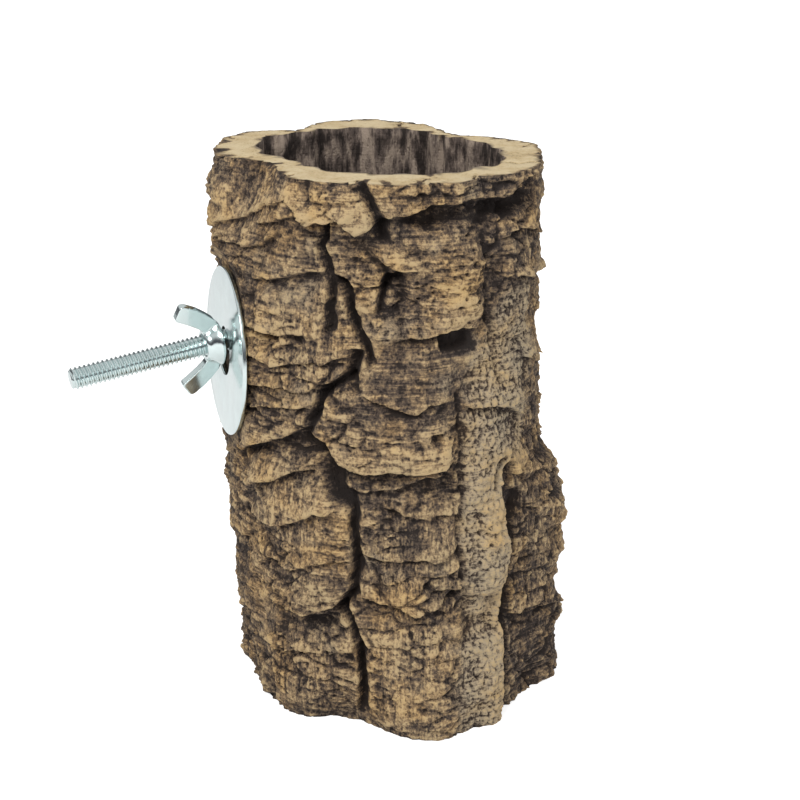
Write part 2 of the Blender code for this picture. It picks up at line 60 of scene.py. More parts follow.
# The tube and the clamp, as the frame has them
AXIS_X = 19.62 * MM
AXIS_Y = 1.9 * MM
TUBE_HEIGHT = 155 * MM
BARK_RADIUS = 46 * MM
CLAMP_REACH = 46.0 * MM
CLAMP_SIDE = 0.2 * MM
BOLT_TURN = math.radians(9)
BOLT_DROOP = math.radians(8.1)
BOLT_RADIUS = 3.1 * MM
BOLT_FREE_LENGTH = 44.4 * MM
BOLT_LENGTH = 57.15 * MM
BOLT_CHAMFER = 0.6 * MM
BOLT_HEIGHT = 103.6 * MM
HEAD_ACROSS_FLATS = 11.1 * MM
HEAD_THICKNESS = 4.2 * MM
WASHER_TURN = math.radians(4)
WASHER_DROOP = math.radians(-1.5)
WASHER_RADIUS = 23.5 * MM
WASHER_THICKNESS = 1.3 * MM
WASHER_HOLE_RADIUS = 6.7 * MM
WASHER_HEIGHT = 100.5 * MM
INNER_WASHER_RADIUS = 9.0 * MM
INNER_WASHER_THICKNESS = 1.2 * MM
NUT_BASE_RADIUS = 6.4 * MM
NUT_TOP_RADIUS = 4.6 * MM
NUT_HEIGHT = 4.8 * MM
WING_THICKNESS = 2.4 * MM
WING_TURN = math.radians(-15)
GAP = 0.3 * MM

# How far from the washer's middle the bark is pressed flat, and how far it may stand up beyond that
PRESSED = ((0, 26, 31), (0, 0, 5))

# The radii, in millimetres, of the round walls that the bark's and the bore's random values are read on
BARK_NOISE_RADIUS = 46
BORE_NOISE_RADIUS = 34

# How far along the bolt its hole is cut, and how near points are the same one
DRILL_FROM = -30 * MM
DRILL_TO = 10 * MM
SEAM = 1e-6

# How finely the mesh and the round pieces are cut, and how the cast nut and the washers are softened
RIM_ROWS = 14
BORE_ROWS = 70
THREAD_STEPS = 36
WASHER_SEGMENTS = 128
HUB_SEGMENTS = 64
HOLE_SEGMENTS = 48
CAST_VOXEL = 0.2 * MM
CAST_SMOOTHINGS = 6
ROLLED_EDGE = 0.28

# Outline of one wing: distance from the bolt's axis, then distance from the nut's base
WING_OUTLINE = ((3.9, 0.6), (6.3, 0.5), (8.2, 1.5), (10.1, 3.3), (12.3, 5.9), (13.7, 8.1), (14.3, 9.3),
                (14.4, 10.1), (13.9, 10.7), (12.2, 11.6), (11.0, 12.2), (10.4, 12.1), (9.9, 11.5),
                (8.7, 9.6), (6.9, 7.0), (5.4, 5.2), (4.2, 4.5))

# Outlines of the bark around the tube's axis: height, then angle and radius
OUTLINES = (
    (0, ((0, 48), (20, 44), (33, 38), (50, 41), (70, 44), (92, 46), (106, 45.5), (121, 41), (135, 45),
         (150, 46), (162, 44), (176, 41.5), (194, 41.5), (212, 42.5), (223, 41.5), (231, 39), (244, 38),
         (252, 40), (261, 46), (274, 49), (288, 49.3), (300, 47.5), (312, 44), (322, 43), (332, 48),
         (346, 50.3))),
    (50, ((0, 48.5), (20, 43), (35, 36), (50, 39), (70, 43), (92, 46), (105, 45.5), (121, 40), (135, 45),
          (150, 47), (167, 45.2), (185, 43.9), (200, 43.9), (215, 46), (230, 46.2), (243, 44),
          (252, 45.5), (265, 47.5), (280, 46.8), (292, 47.4), (300, 46.5), (310, 43.5), (320, 45),
          (332, 48), (346, 50))),
    (90, ((0, 41.5), (15, 40), (33, 33), (50, 37), (70, 42), (90, 45), (105, 45), (121, 39), (135, 45),
          (150, 48.5), (167, 49), (180, 48), (200, 46.5), (215, 46), (228, 45.5), (240, 46.5), (255, 48),
          (270, 47.5), (282, 45.8), (292, 46.3), (300, 45.5), (315, 44), (330, 43), (346, 41.8))),
    (126, ((0, 40.5), (15, 36), (33, 30), (50, 34), (70, 41), (90, 44.5), (105, 44.5), (121, 38), (135, 45),
           (150, 48.5), (167, 48.5), (180, 48), (195, 46), (205, 46), (220, 46.5), (235, 46), (248, 45),
           (258, 45), (270, 46.5), (280, 46.5), (292, 44), (300, 44.5), (315, 43.5), (330, 42), (346, 42))),
    (155, ((4, 37.5), (13, 35), (21, 31), (33, 27.5), (42, 29), (53, 33.5), (63, 38), (72, 40), (82, 43),
           (95, 44.3), (106, 44), (114, 40), (121, 37), (125, 39.5), (133, 45), (145, 47.8), (160, 47.6),
           (178, 45.8), (186, 43.5), (193, 39), (203, 37.5), (216, 42), (226, 45.5), (241, 46.5), (250, 47),
           (258, 49), (270, 47), (279, 48.5), (288, 45.5), (297, 47), (312, 45.5), (334, 42.5),
           (346, 41.6))),
)
BORE = (
    (0, ((0, 30), (20, 27), (40, 25), (60, 27), (80, 30), (100, 33), (120, 34), (140, 36), (160, 36),
         (180, 34), (200, 32), (220, 32), (240, 32), (260, 36), (280, 37), (300, 37), (320, 34),
         (340, 32))),
    (155, ((10, 26), (28, 22.7), (41, 23), (58, 26), (79, 27.5), (92, 30.4), (110, 33), (120, 33),
           (135, 36), (144, 38), (156, 36.7), (177, 35), (186, 32), (201, 30), (215, 31), (228, 33),
           (244, 33), (261, 34), (275, 35.5), (285, 36.7), (298, 34.4), (311, 35.7), (330, 32.4),
           (349, 29))),
)

# Cracks: half width, depth, then their course by angle and height
CRACKS = (
    (1.6, 4.0, ((236, 146), (235, 139), (238, 132), (238, 122), (237, 117))),
    (1.5, 5.0, ((240, 129), (243, 127), (245, 121), (248, 115), (251, 108))),
    (2.0, 5.0, ((246, 110), (244, 103), (238, 101), (233, 97), (230, 91), (228, 85))),
    (3.2, 5.0, ((229, 86), (235, 82), (238, 77), (240, 72), (244, 69))),
    (1.7, 5.0, ((245, 71), (246, 60), (247, 52), (246, 46), (244, 42), (238, 37))),
    (1.8, 6.0, ((239, 37), (242, 33), (246, 27), (248, 18), (247, 8), (247, -4))),
    (1.5, 1.6, ((281, 100), (282, 80), (282, 60), (283, 46))),
    (1.7, 1.3, ((292, 147), (291, 135), (291, 125), (294, 114), (296, 105), (300, 97))),
    (3.4, 7.0, ((303, 72), (305, 64), (305, 50), (304, 38), (303, 22), (304, -4))),
    (2.0, 5.0, ((247, 158), (249, 152), (253, 148), (255, 142))),
    (1.5, 4.0, ((260, 131), (255, 129), (253, 122))),
    (1.3, 2.5, ((299, 77), (297, 73), (296, 68))),
    (1.3, 2.5, ((269, 46), (272, 43), (280, 41))),
    (1.2, 1.8, ((268, 158), (270, 152), (273, 149))),
)

# Ledges: lip, recess below it, how far both reach, then the ledge's course by angle and height
LEDGES = (
    (3.2, 2.6, 6, ((221, 151), (229, 147), (235, 146), (241, 147), (246, 144), (252, 146))),
    (1.6, 2.6, 6, ((252, 147), (262, 148), (272, 150), (284, 150), (299, 149), (306, 151), (316, 153))),
    (1.3, 1.3, 3, ((174, 136), (190, 141), (200, 144), (210, 147), (222, 150))),
    (1.2, 1.3, 3, ((178, 133), (197, 134), (209, 136), (219, 139))),
    (1.1, 1.2, 3, ((203, 141), (213, 142), (223, 144), (234, 145))),
    (1.3, 1.6, 4, ((205, 126), (220, 128), (230, 130), (237, 131))),
    (1.2, 1.6, 3, ((203, 113), (220, 114), (229, 115))),
    (1.2, 1.4, 3, ((204, 105), (221, 106), (232, 107), (243, 109))),
    (1.2, 1.4, 3, ((202, 98), (216, 98), (228, 99), (240, 102))),
    (1.0, 1.2, 3, ((202, 91), (214, 92), (228, 94))),
    (2.6, 3.0, 7, ((196, 79), (205, 81), (213, 82), (220, 85), (229, 87))),
    (2.2, 2.2, 4, ((198, 68), (208, 70), (216, 71), (224, 74), (232, 76))),
    (1.4, 1.3, 4, ((196, 57), (210, 58), (218, 59), (226, 62), (238, 66))),
    (1.0, 1.2, 3, ((202, 46), (214, 47), (226, 48), (242, 51))),
    (2.5, 2.6, 6, ((202, 34), (212, 35), (225, 35), (232, 37), (239, 39))),
    (1.2, 1.0, 4, ((204, 20), (216, 21), (228, 23), (244, 24))),
    (3.0, 3.6, 8, ((229, 87), (234, 85), (240, 80), (252, 80), (264, 79), (277, 80))),
    (1.3, 1.6, 4, ((242, 71), (250, 72), (258, 72), (266, 74), (276, 76))),
    (1.3, 1.3, 3, ((255, 67), (264, 65), (272, 64), (282, 64))),
    (1.2, 1.2, 3, ((250, 55), (262, 53), (272, 52), (282, 54))),
    (1.6, 3.0, 5, ((245, 42), (252, 40), (259, 38), (267, 37), (275, 41), (283, 43))),
    (1.4, 1.6, 4, ((250, 100), (258, 98), (267, 96), (277, 99))),
    (1.6, 1.6, 4, ((259, 114), (268, 113), (275, 114), (288, 114))),
    (1.6, 1.6, 4, ((283, 95), (292, 94), (300, 93), (312, 88))),
    (2.2, 3.0, 5, ((300, 69), (308, 70), (316, 72))),
    (1.6, 1.8, 5, ((305, 28), (315, 27), (330, 24), (346, 20))),
    (1.6, 1.8, 5, ((304, 139), (316, 138), (330, 136), (346, 137))),
    (1.6, 1.8, 5, ((300, 127), (315, 125), (332, 124), (350, 122))),
    (2.0, 1.8, 5, ((310, 105), (325, 101), (345, 100))),
)

# Raised plates: height, angle and height of the middle, half width, half height, slant in degrees
PLATES = (
    (1.8, 223, 120, 12.5, 6.5, 3),
    (1.4, 248, 131, 5, 3.5, 5),
    (2.4, 259, 136, 7, 2.4, -32),
    (2.4, 280, 129, 9, 13, 0),
    (1.6, 256, 88, 17, 8, 0),
    (1.6, 208, 74, 8, 4.5, 12),
    (1.4, 224, 67, 11, 4.5, 10),
    (2.2, 261, 18, 14.5, 17.5, 0),
    (1.2, 224, 16, 14, 12, 3),
    (1.2, 292, 82, 8, 14, 0),
    (1.8, 296, 54, 6, 14, 0),
    (1.4, 297, 8, 6, 9, 0),
    (1.6, 255, 120, 3, 5, 0),
    (1.4, 306, 120, 8, 8, 0),
    (2.5, 345, 52, 12, 5, 0),
    (2.0, 172, 147, 12, 4, 0),
)

# Hollows: depth, then the same as for the plates
HOLLOWS = (
    (7.0, 279, 112, 4.0, 2.2, 8),
    (4.5, 302, 146, 8, 2.2, 0),
    (3.0, 272, 147, 9, 2.2, -4),
    (6.0, 309, 61, 4.0, 3.8, -10),
    (3.6, 290, 33, 6.5, 6.5, 0),
    (2.5, 258, 125, 3.2, 6, 0),
    (2.2, 272, 87, 1.5, 1.4, 0),
    (3.0, 245, 102, 1.6, 2.4, 10),
    (2.5, 214, 113, 4, 1.5, 0),
    (2.5, 232, 32, 5, 2.4, 8),
    (4.2, 343, 76, 14, 8, 0),
    (3.0, 344, 29, 12, 7, 0),
    (2.0, 343, 140, 13, 5, 0),
    (1.8, 343, 104, 12, 7, 0),
    (2.4, 176, 4, 12, 6, 0),
)

# The hidden back carries cracks and ledges of the same kinds, drawn with a fixed seed
BACK_SEED = 11
BACK_FROM = -12
BACK_TO = 172
BACK_CRACKS = 7
BACK_LEDGE_ROWS = 9

# Growth layers, lumps (size and height), and how far the features' edges wander
LAYER_SPACING = 5.2
LAYER_DEPTH = 0.6
LUMP_SIZES = ((17, 1.5), (8, 0.9), (4, 0.5))
WARP = 1.6
FINE_WARP = 0.3

# The bore's ridges, the thinnest wall, how softly a ledge starts, and the share kept of a crack's width
FLUTES = 20
FLUTE_DEPTH = 0.7
LEAST_WALL = 5.0
LEDGE_EDGE = 0.9
CRACK_SHARE = 0.8

# Flakes of bark: size, stretch upwards, seed, and how deep the cracks between them are
FLAKES = ((11.0, 0.42, 81, 1.3), (4.6, 0.55, 91, 0.5))

# Thin and broad layers, fibres, crumbs and grain: how deep each is, and how much it lightens the bark where
# it stands out and darkens it where it sinks, painted shade under the layers' lips
FINE_SHARES = ((0.2, 0.44), (0.35, 0.34), (0.3, 0.14), (0.34, 0.12), (0.28, 0.08))
FIBRE_SCALE = (1 / 0.95, 1 / 0.95, 1 / 9)

# Where the bark is lighter or darker, its own colour mixed with painted light on the lit plates and painted
# shade in recesses, hollows, the hole and under the rim: how much, then the same as for the plates
TONE_LIGHT_AND_SHADE = (
    (0.20, 236, 150, 14, 5, 0),
    (0.20, 223, 120, 12, 7, 3),
    (0.20, 248, 131, 5, 3.5, 5),
    (0.28, 259, 136, 7, 2.4, -32),
    (0.24, 278, 128, 9, 13, 0),
    (0.22, 256, 86, 17, 7, 0),
    (0.20, 271, 63, 10, 3.5, 0),
    (-0.12, 256, 58, 7, 14, 0),
    (0.14, 232, 10, 12, 8, 0),
    (0.20, 208, 74, 8, 5, 12),
    (0.22, 218, 66, 14, 5, 10),
    (0.22, 263, 28, 13, 8, 0),
    (0.08, 261, 12, 14, 12, 0),
    (0.06, 224, 16, 14, 12, 3),
    (0.14, 196, 142, 16, 6, 14),
    (-0.30, 284, 146, 22, 3.4, 0),
    (-0.20, 256, 122, 4, 9, 0),
    (-0.12, 225, 92, 20, 9, 0),
    (-0.20, 232, 32, 7, 3, 8),
    (-0.16, 326, 36, 16, 40, 0),
    (-0.10, 312, 130, 14, 20, 0),
    (-0.14, 250, 66, 5, 12, 0),
    # Painted shadow in the hole
    (-1.50, 280.8, 110.6, 4.8, 2.9, 10),
    (-0.80, 284.4, 111.4, 3.4, 1.5, -22),
    (-0.28, 283, 151.6, 24, 2.4, 0),
    (0.18, 330, 112, 14, 12, 0),
    (0.18, 262, 8, 14, 9, 0),
    (-0.30, 284, 140, 14, 5, 0),
    (-0.24, 266, 99, 16, 9, 0),
    (0.20, 296, 44, 7, 40, 0),
    (-0.60, 303, 145.5, 8, 2.6, 0),
    (-0.60, 304, 40, 2.6, 36, 0),
    (-0.50, 309, 61, 4.2, 4.0, -10),
    (0.34, 322, 67, 12, 3.6, -14),
    (-0.20, 330, 12, 18, 12, 0),
)

# Where the grey crust grows, and where fibres run up the bark
LICHEN = ((293, 44, 9, 46, 0), (298, 92, 12, 20, 0), (308, 112, 10, 14, 0), (292, 10, 10, 14, 0))
RIBBED = ((228, 110, 11, 16, 0), (220, 18, 14, 16, 0), (265, 35, 12, 38, 0), (320, 140, 16, 12, 0),
          (216, 58, 14, 20, 0), (196, 146, 14, 8, 14), (325, 60, 14, 40, 0), (75, 80, 60, 50, 0))

# Cracks in the sawn rim: angle, then how far across the rim they start and end
RIM_CRACKS = ((186, 0.1, 0.6), (248, 0.0, 0.35), (268, 0.0, 0.55), (286, 0.0, 0.4), (318, 0.1, 0.9),
              (352, 0.0, 0.4), (73, 0.0, 0.8), (150, 0.0, 0.3), (222, 0.0, 0.3))

# Where the soft lights stand
KEY_PLACE = (-0.55, -0.75, 0.95)
FILL_PLACE = (0.9, -0.6, 0.45)

# The viewpoint, measured from the tube's axis and the floor
CAMERA_ASIDE = -114.7 * MM
CAMERA_BACK = -496.9 * MM
CAMERA_HEIGHT = 256 * MM
CAMERA_LOOKS_DOWN = math.radians(18.8)
CAMERA_TURN = math.radians(-13.364)
LENS = 85.05
SENSOR_WIDTH = 36


def colour_setting(name, description, default):
    """A colour that a user may change."""
    return FloatVectorProperty(name=name, description=description, default=(*default, 1), size=4,
                               subtype='COLOR')


class BarkSettings(bpy.types.PropertyGroup):
    """Sizes and colours of the bark."""

    columns: IntProperty(name="Columns", description="Mesh points around the bark", default=600)
    rows: IntProperty(name="Rows", description="Mesh points up the bark", default=330)
    share_kept: FloatProperty(name="Share kept", description="Share of the faces left after thinning",
                              default=0.37, subtype='FACTOR', min=0.01, max=1)
    # The darkest colour is painted shadow, for deep cracks, pits and the bore's grooves
    cavity_shadow_colour: colour_setting("Cavities", "Deep cracks and pits", (0.028, 0.021, 0.018))
    shade_colour: colour_setting("Shaded bark", "Recessed and weathered bark", (0.086, 0.063, 0.049))
    bark_colour: colour_setting("Bark", "Most of the bark", (0.175, 0.122, 0.076))
    plate_colour: colour_setting("Plates", "The worn faces of the plates", (0.335, 0.232, 0.128))
    edge_colour: colour_setting("Edges", "The lightest fibres and torn edges", (0.54, 0.395, 0.215))
    lichen_colour: colour_setting("Lichen crust", "The grey crust on the front ridge", (0.43, 0.34, 0.225))
    sawn_colour: colour_setting("Sawn ends", "Freshly cut cork", (0.56, 0.425, 0.235))
    bore_colour: colour_setting("Bore", "The old inner face of the bark", (0.115, 0.088, 0.075))


class ClampSettings(bpy.types.PropertyGroup):
    """Sizes and colours of the clamp."""

    thread_pitch: FloatProperty(name="Thread pitch", description="Distance between two thread ridges",
                                default=1.27 * MM, unit='LENGTH')
    thread_depth: FloatProperty(name="Thread depth", description="Depth of the thread's groove",
                                default=0.55 * MM, unit='LENGTH')
    zinc_colour: colour_setting("Zinc", "Bright zinc plating", (0.70, 0.80, 0.80))


class StageSettings(bpy.types.PropertyGroup):
    """The floor and the lights."""

    floor_colour: colour_setting("Floor", "Plain pale floor", (0.92, 0.92, 0.92))
    floor_glow: FloatProperty(name="Floor glow", default=0.5,
                              description="Light added to the floor as the camera sees it")
    key_power: FloatProperty(name="Key light", description="Power of the soft light at the front left",
                             default=9, unit='POWER')
    fill_power: FloatProperty(name="Fill light", description="Power of the soft light at the right",
                              default=2, unit='POWER')
    sky: FloatProperty(name="Sky", description="Brightness of the surroundings", default=0.75)


def scattered(x, y, z):
    """Random values from 0 to 1, one for each whole-numbered place."""
    mixed = (x * 73856093) ^ (y * 19349663) ^ (z * 83492791)
    mixed = (mixed ^ (mixed >> 13)) * 1274126177 & 0x7FFFFFFF
    return mixed / 0x7FFFFFFF


def noise(points, size, seed):
    """Smooth random values from -1 to 1, one for each point, with lumps of a size."""
    cell = points / size + seed * 17.3
    corner = np.floor(cell).astype(np.int64)
    part = cell - corner
    part = part * part * (3 - 2 * part)
    total = np.zeros(points.shape[:-1])
    for step in itertools.product((0, 1), repeat=3):
        weight = np.prod(np.where(step, part, 1 - part), axis=-1)
        total += weight * (2 * scattered(*np.moveaxis(corner + step, -1, 0)) - 1)
    return total


def askew(points):
    """The points turned about, which hides the lattice that the noise is drawn on."""
    turn = np.array(Matrix.Rotation(0.9, 3, Vector((0.5, 0.7, 0.6))))
    return points @ turn


def cells(angle, height, size, stretch, seed):
    """How far the nearest and the next of some scattered points are, in cells, and the first's number."""
    around = round(math.tau * BARK_RADIUS / MM / size)
    x = angle / 360 * around
    y = height / (size * stretch)
    nearest = np.full(angle.shape, 9.0)
    second = np.full(angle.shape, 9.0)
    number = np.zeros(angle.shape)
    for step_x, step_y in itertools.product((-1, 0, 1), repeat=2):
        cell_x = np.floor(x).astype(np.int64) + step_x
        cell_y = np.floor(y).astype(np.int64) + step_y
        wrapped = cell_x % around
        aside = cell_x + scattered(wrapped, cell_y, seed) - x
        up = cell_y + scattered(wrapped, cell_y, seed + 1) - y
        distance = np.hypot(aside, up)
        second = np.minimum(second, np.maximum(distance, nearest))
        number = np.where(distance < nearest, scattered(wrapped, cell_y, seed + 2), number)
        nearest = np.minimum(nearest, distance)
    return nearest, second, number


def smooth_curve(known_at, known, at):
    """Values of a smooth curve through known ones, which may be rows of values."""
    slopes = np.gradient(known, known_at, axis=0)
    index = np.clip(np.searchsorted(known_at, at) - 1, 0, len(known_at) - 2)
    span = known_at[index + 1] - known_at[index]
    part = np.clip((at - known_at[index]) / span, 0, 1)
    if known.ndim > 1:
        span = span[:, None]
        part = part[:, None]
    rest = 1 - part
    start = (1 + 2 * part) * rest ** 2 * known[index] + part * rest ** 2 * span * slopes[index]
    end = part ** 2 * (3 - 2 * part) * known[index + 1] - part ** 2 * rest * span * slopes[index + 1]
    return start + end


def closed_curve(points, angles):
    """Radii at some angles, on a smooth closed curve through the points."""
    known_angles = np.array([angle for angle, radius in points], float)
    known_radii = np.array([radius for angle, radius in points], float)
    known_angles = np.concatenate([known_angles - 360, known_angles, known_angles + 360])
    known_radii = np.tile(known_radii, 3)
    return smooth_curve(known_angles, known_radii, angles % 360)


def outline_grid(outlines, angles, heights):
    """Radii on a grid of heights and angles."""
    levels = np.array([height for height, points in outlines], float)
    rows = np.array([closed_curve(points, angles) for height, points in outlines])
    return smooth_curve(levels, rows, heights)


def across(angle, middle):
    """Distance around the bark, in millimetres, from an angle."""
    turn = (angle - middle + 180) % 360 - 180
    return np.radians(turn) * BARK_RADIUS / MM


def crack_depth(angle, height, half_width, depth, course):
    """How deep a crack cuts at each place."""
    nearest = np.full(angle.shape, 1e9)
    for (angle_a, height_a), (angle_b, height_b) in zip(course, course[1:]):
        run = np.radians(angle_b - angle_a) * BARK_RADIUS / MM
        rise = height_b - height_a
        side = across(angle, angle_a)
        up = height - height_a
        along = np.clip((side * run + up * rise) / (run * run + rise * rise), 0, 1)
        nearest = np.minimum(nearest, np.hypot(side - along * run, up - along * rise))
    inside = np.clip(1 - nearest / (1.6 * half_width), 0, 1)
    return depth * inside * inside * (3 - 2 * inside)


def ledge_relief(angle, height, lip, recess, reach, course):
    """The lip above a ledge, and the recess under it."""
    middle = (course[0][0] + course[-1][0]) / 2
    turn = (angle - middle + 180) % 360 - 180 + middle
    angles = [point[0] for point in course]
    above = height - np.interp(turn, angles, [point[1] for point in course])
    fade = np.clip(np.minimum(turn - angles[0], angles[-1] - turn) / 4 + 0.5, 0, 1)
    raised = lip * np.exp(-np.maximum(above, 0) / reach)
    lowered = -recess * np.exp(np.minimum(above, 0) / reach)
    side = np.clip(above / LEDGE_EDGE + 0.5, 0, 1)
    return fade * (lowered + (raised - lowered) * side * side * (3 - 2 * side))


def plate_relief(angle, height, middle_angle, middle_height, half_width, half_height, slant):
    """One inside a rounded plate, and falling to nothing outside it."""
    side = across(angle, middle_angle)
    up = height - middle_height
    turn = math.radians(slant)
    along = (side * math.cos(turn) + up * math.sin(turn)) / half_width
    square = (up * math.cos(turn) - side * math.sin(turn)) / half_height
    return np.exp(-(along ** 4 + square ** 4) ** 1.5)


def back_features():
    """Cracks and ledges for the hidden back."""
    draw = random.Random(BACK_SEED)
    cracks = []
    for number in range(BACK_CRACKS):
        angle = BACK_FROM + (number + draw.uniform(0.2, 0.8)) * (BACK_TO - BACK_FROM) / BACK_CRACKS
        start = draw.uniform(-10, 60)
        course = []
        for step in range(7):
            course.append((angle, start + 15 * step))
            angle += draw.uniform(-5, 5)
        cracks.append((draw.uniform(1.4, 2.6), draw.uniform(3, 6), course))
    ledges = []
    for row in range(BACK_LEDGE_ROWS):
        angle = BACK_FROM + draw.uniform(-8, 12)
        height = 140 - 15.5 * row
        while angle < BACK_TO:
            width = draw.uniform(14, 34)
            rise = height + draw.uniform(-7, 7)
            course = [(angle + width * part, rise + draw.uniform(-3, 3)) for part in (0, 0.3, 0.6, 1)]
            lip = draw.uniform(0.4, 1.7)
            ledges.append((lip, 1.2 * lip, 3 + 2 * lip, course))
            angle += width + draw.uniform(-2, 10)
    return cracks, ledges


def warped_places(angle, height, points):
    """Angles and heights pushed about a little, which makes the edges of features ragged."""
    aside, up = (WARP * (noise(points, 9, seed) + 0.5 * noise(points, 4, seed + 1))
                 + FINE_WARP * noise(points, size, fine_seed)
                 for seed, size, fine_seed in ((1, 1.9, 71), (3, 1.7, 72)))
    return angle + np.degrees(aside * MM / BARK_RADIUS), height + up


def growth_layers(points, height, spacing, seed):
    """Overlapping layers: 0.5 at each layer's lower lip, falling to -0.5 where the next one starts."""
    wander = noise(points * (0.6, 0.6, 1), 3.1 * spacing, seed) + 0.25 * noise(points, spacing, seed + 1)
    phase = (height / spacing + 0.7 * wander) % 1
    lip = np.clip(phase / 0.14, 0, 1)
    return lip * (1 - phase) - 0.5


def bark_relief(angle, height, points):
    """How far the bark stands out from its outline, in millimetres, and how light it is, with painted light
    and shade.
    """
    warped_angle, warped_height = warped_places(angle, height, points)
    back_cracks, back_ledges = back_features()
    ledges = np.zeros(angle.shape)
    for lip, recess, reach, course in list(LEDGES) + back_ledges:
        ledges += ledge_relief(warped_angle, warped_height, lip, recess, reach, course)
    relief = ledges.copy()
    for raised, *place in PLATES:
        relief += raised * plate_relief(warped_angle, warped_height, *place)
    shown = np.clip(0.5 + noise(points, 12, 6), 0, 1)
    layer = shown * growth_layers(points, warped_height, LAYER_SPACING, 5)
    relief += LAYER_DEPTH * layer
    for size, depth in LUMP_SIZES:
        relief += depth * noise(points, size, 7 + size)
    for depth, *place in HOLLOWS:
        relief -= depth * plate_relief(warped_angle, warped_height, *place)
    cut = np.zeros(angle.shape)
    for half_width, depth, course in list(CRACKS) + back_cracks:
        cut = np.maximum(cut, crack_depth(warped_angle, warped_height, CRACK_SHARE * half_width, depth,
                                          course))
    tone = sum(amount * plate_relief(warped_angle, warped_height, *place) for amount, *place in TONE_LIGHT_AND_SHADE)
    # Lips and layers are lighter, partly as wear and partly as painted light, and the recesses under the
    # lips and the cracks are darker as painted shade
    tone = 0.62 * tone + 0.05 * np.clip(ledges, -3, 2.2) + 0.18 * layer - 0.08 * cut
    return relief - cut, tone


def share_of(places, angle, height, points, seed):
    """How much of a listed kind of surface covers each place, from 0 to 1."""
    share = sum(plate_relief(angle, height, *place) for place in places)
    share = share + 0.35 * (noise(points, 7, seed) + noise(points, 3, seed + 1))
    return np.clip(share * 1.4 - 0.2, 0, 1)


def flakes(angle, height, points, size, stretch, seed):
    """Flakes of bark with cracks between them: how far each stands out, and how deep the cracks are."""
    aside = angle + np.degrees(0.22 * size * noise(points, 0.6 * size, seed) * MM / BARK_RADIUS)
    up = height + 0.18 * size * noise(points, 0.6 * size, seed + 1)
    nearest, second, number = cells(aside, up, size, stretch, seed + 2)
    shown = np.clip(0.6 + 1.5 * noise(points, 14, seed + 5), 0, 1)
    return shown * (number - 0.5), shown * np.clip(1 - (second - nearest) / 0.16, 0, 1)


def fine_relief(angle, height, points, crust, ribbed):
    """Thin layers, fibres, crumbs, small pits and cobbles in millimetres, and how light they are, with
    painted shade in the pits and cracks.
    """
    plain = 1 - crust
    lean = 0.45 * across(angle, 200) * plate_relief(angle, height, 200, 143, 18, 10, 10)
    warped = height + 0.8 * noise(points, 5, 39) - lean
    shown = np.clip(0.5 + 1.1 * noise(points, 9, 33), 0, 1) * plain
    thin = shown * growth_layers(points, warped, 2.3, 34)
    broad = np.clip(0.4 - 1.3 * noise(points, 11, 46), 0, 1) * plain
    broad = broad * growth_layers(points, warped, 3.7, 47)
    fibres = noise(points * FIBRE_SCALE, 1, 36) * (0.45 + ribbed) * plain
    crumbs = noise(askew(points), 2.1, 37) * (1.2 - ribbed) * (1 - 0.5 * crust)
    grain = noise(askew(points), 1.15, 38)
    relief = tone = 0
    for (depth, light), kind in zip(FINE_SHARES, (thin, broad, fibres, crumbs, grain)):
        relief = relief + depth * kind
        tone = tone + light * kind
    nearest, second, number = cells(angle, height, 1.9, 1.4, 41)
    split = np.clip(1 - (second - nearest) / 0.24, 0, 1) * crust
    nearest, second, number = cells(angle, height, 3.1, 0.8, 43)
    pits = np.clip(noise(points, 10, 44) + 0.35, 0, 1) * np.clip(1 - nearest / 0.26, 0, 1)
    # The crust's splits and the pits are painted darker as painted shade
    relief -= 0.65 * split + 1.2 * pits
    tone = tone - 0.42 * split - 0.3 * pits
    for size, stretch, seed, depth in FLAKES:
        raised, cracked = flakes(angle, height, points, size, stretch, seed)
        relief += depth * plain * (0.8 * raised - cracked)
        # Each flake is lighter or darker by chance, and the cracks between flakes get painted shade
        tone += plain * (0.22 * raised - 0.30 * cracked)
    return relief, tone


def clamp_frame(turn, droop, height):
    """A matrix whose +Z points out along the clamp, turned to the front and drooping."""
    level = math.cos(droop)
    outward = Vector((-math.cos(turn) * level, -math.sin(turn) * level, -math.sin(droop)))
    upward = (Vector((0, 0, 1)) - outward * outward.z).normalized()
    sideways = outward.cross(upward)
    facing = Matrix((upward, sideways, outward)).transposed().to_4x4()
    return Matrix.Translation((AXIS_X - CLAMP_REACH, AXIS_Y + CLAMP_SIDE, height)) @ facing


def bolt_frame():
    return clamp_frame(BOLT_TURN, BOLT_DROOP, BOLT_HEIGHT)


def washer_frame():
    return clamp_frame(WASHER_TURN, WASHER_DROOP, WASHER_HEIGHT)


def press_under_washer(places):
    """Hold the bark behind the clamp washer, as if the washer had pressed it flat."""
    clamp = np.array(washer_frame())
    local = (places - clamp[:3, 3]) @ clamp[:3, :3]
    aside = np.hypot(local[..., 0], local[..., 1])
    limit = np.interp(aside / MM, *PRESSED) * MM - WASHER_THICKNESS / 2 - GAP
    over = np.maximum(local[..., 2] - limit, 0) * (local[..., 2] > -BARK_RADIUS / 2)
    return places - over[..., None] * clamp[:3, 2]


def blurred(values, steps):
    """Values averaged over a soft disc of some steps; columns wrap round."""
    tall = np.concatenate([values[::-1], values, values[::-1]])
    up = np.fft.fftfreq(tall.shape[0])[:, None]
    along = np.fft.rfftfreq(tall.shape[1])[None, :]
    soft = np.exp(-2 * (math.pi * steps) ** 2 * (up ** 2 + along ** 2))
    mixed = np.fft.irfft2(np.fft.rfft2(tall) * soft, s=tall.shape)
    return mixed[len(values):2 * len(values)]


def on_tube(radius, angle, height):
    turn = np.radians(angle)
    places = np.stack([radius * np.cos(turn), radius * np.sin(turn), height], axis=-1) * MM
    return places + (AXIS_X, AXIS_Y, 0)


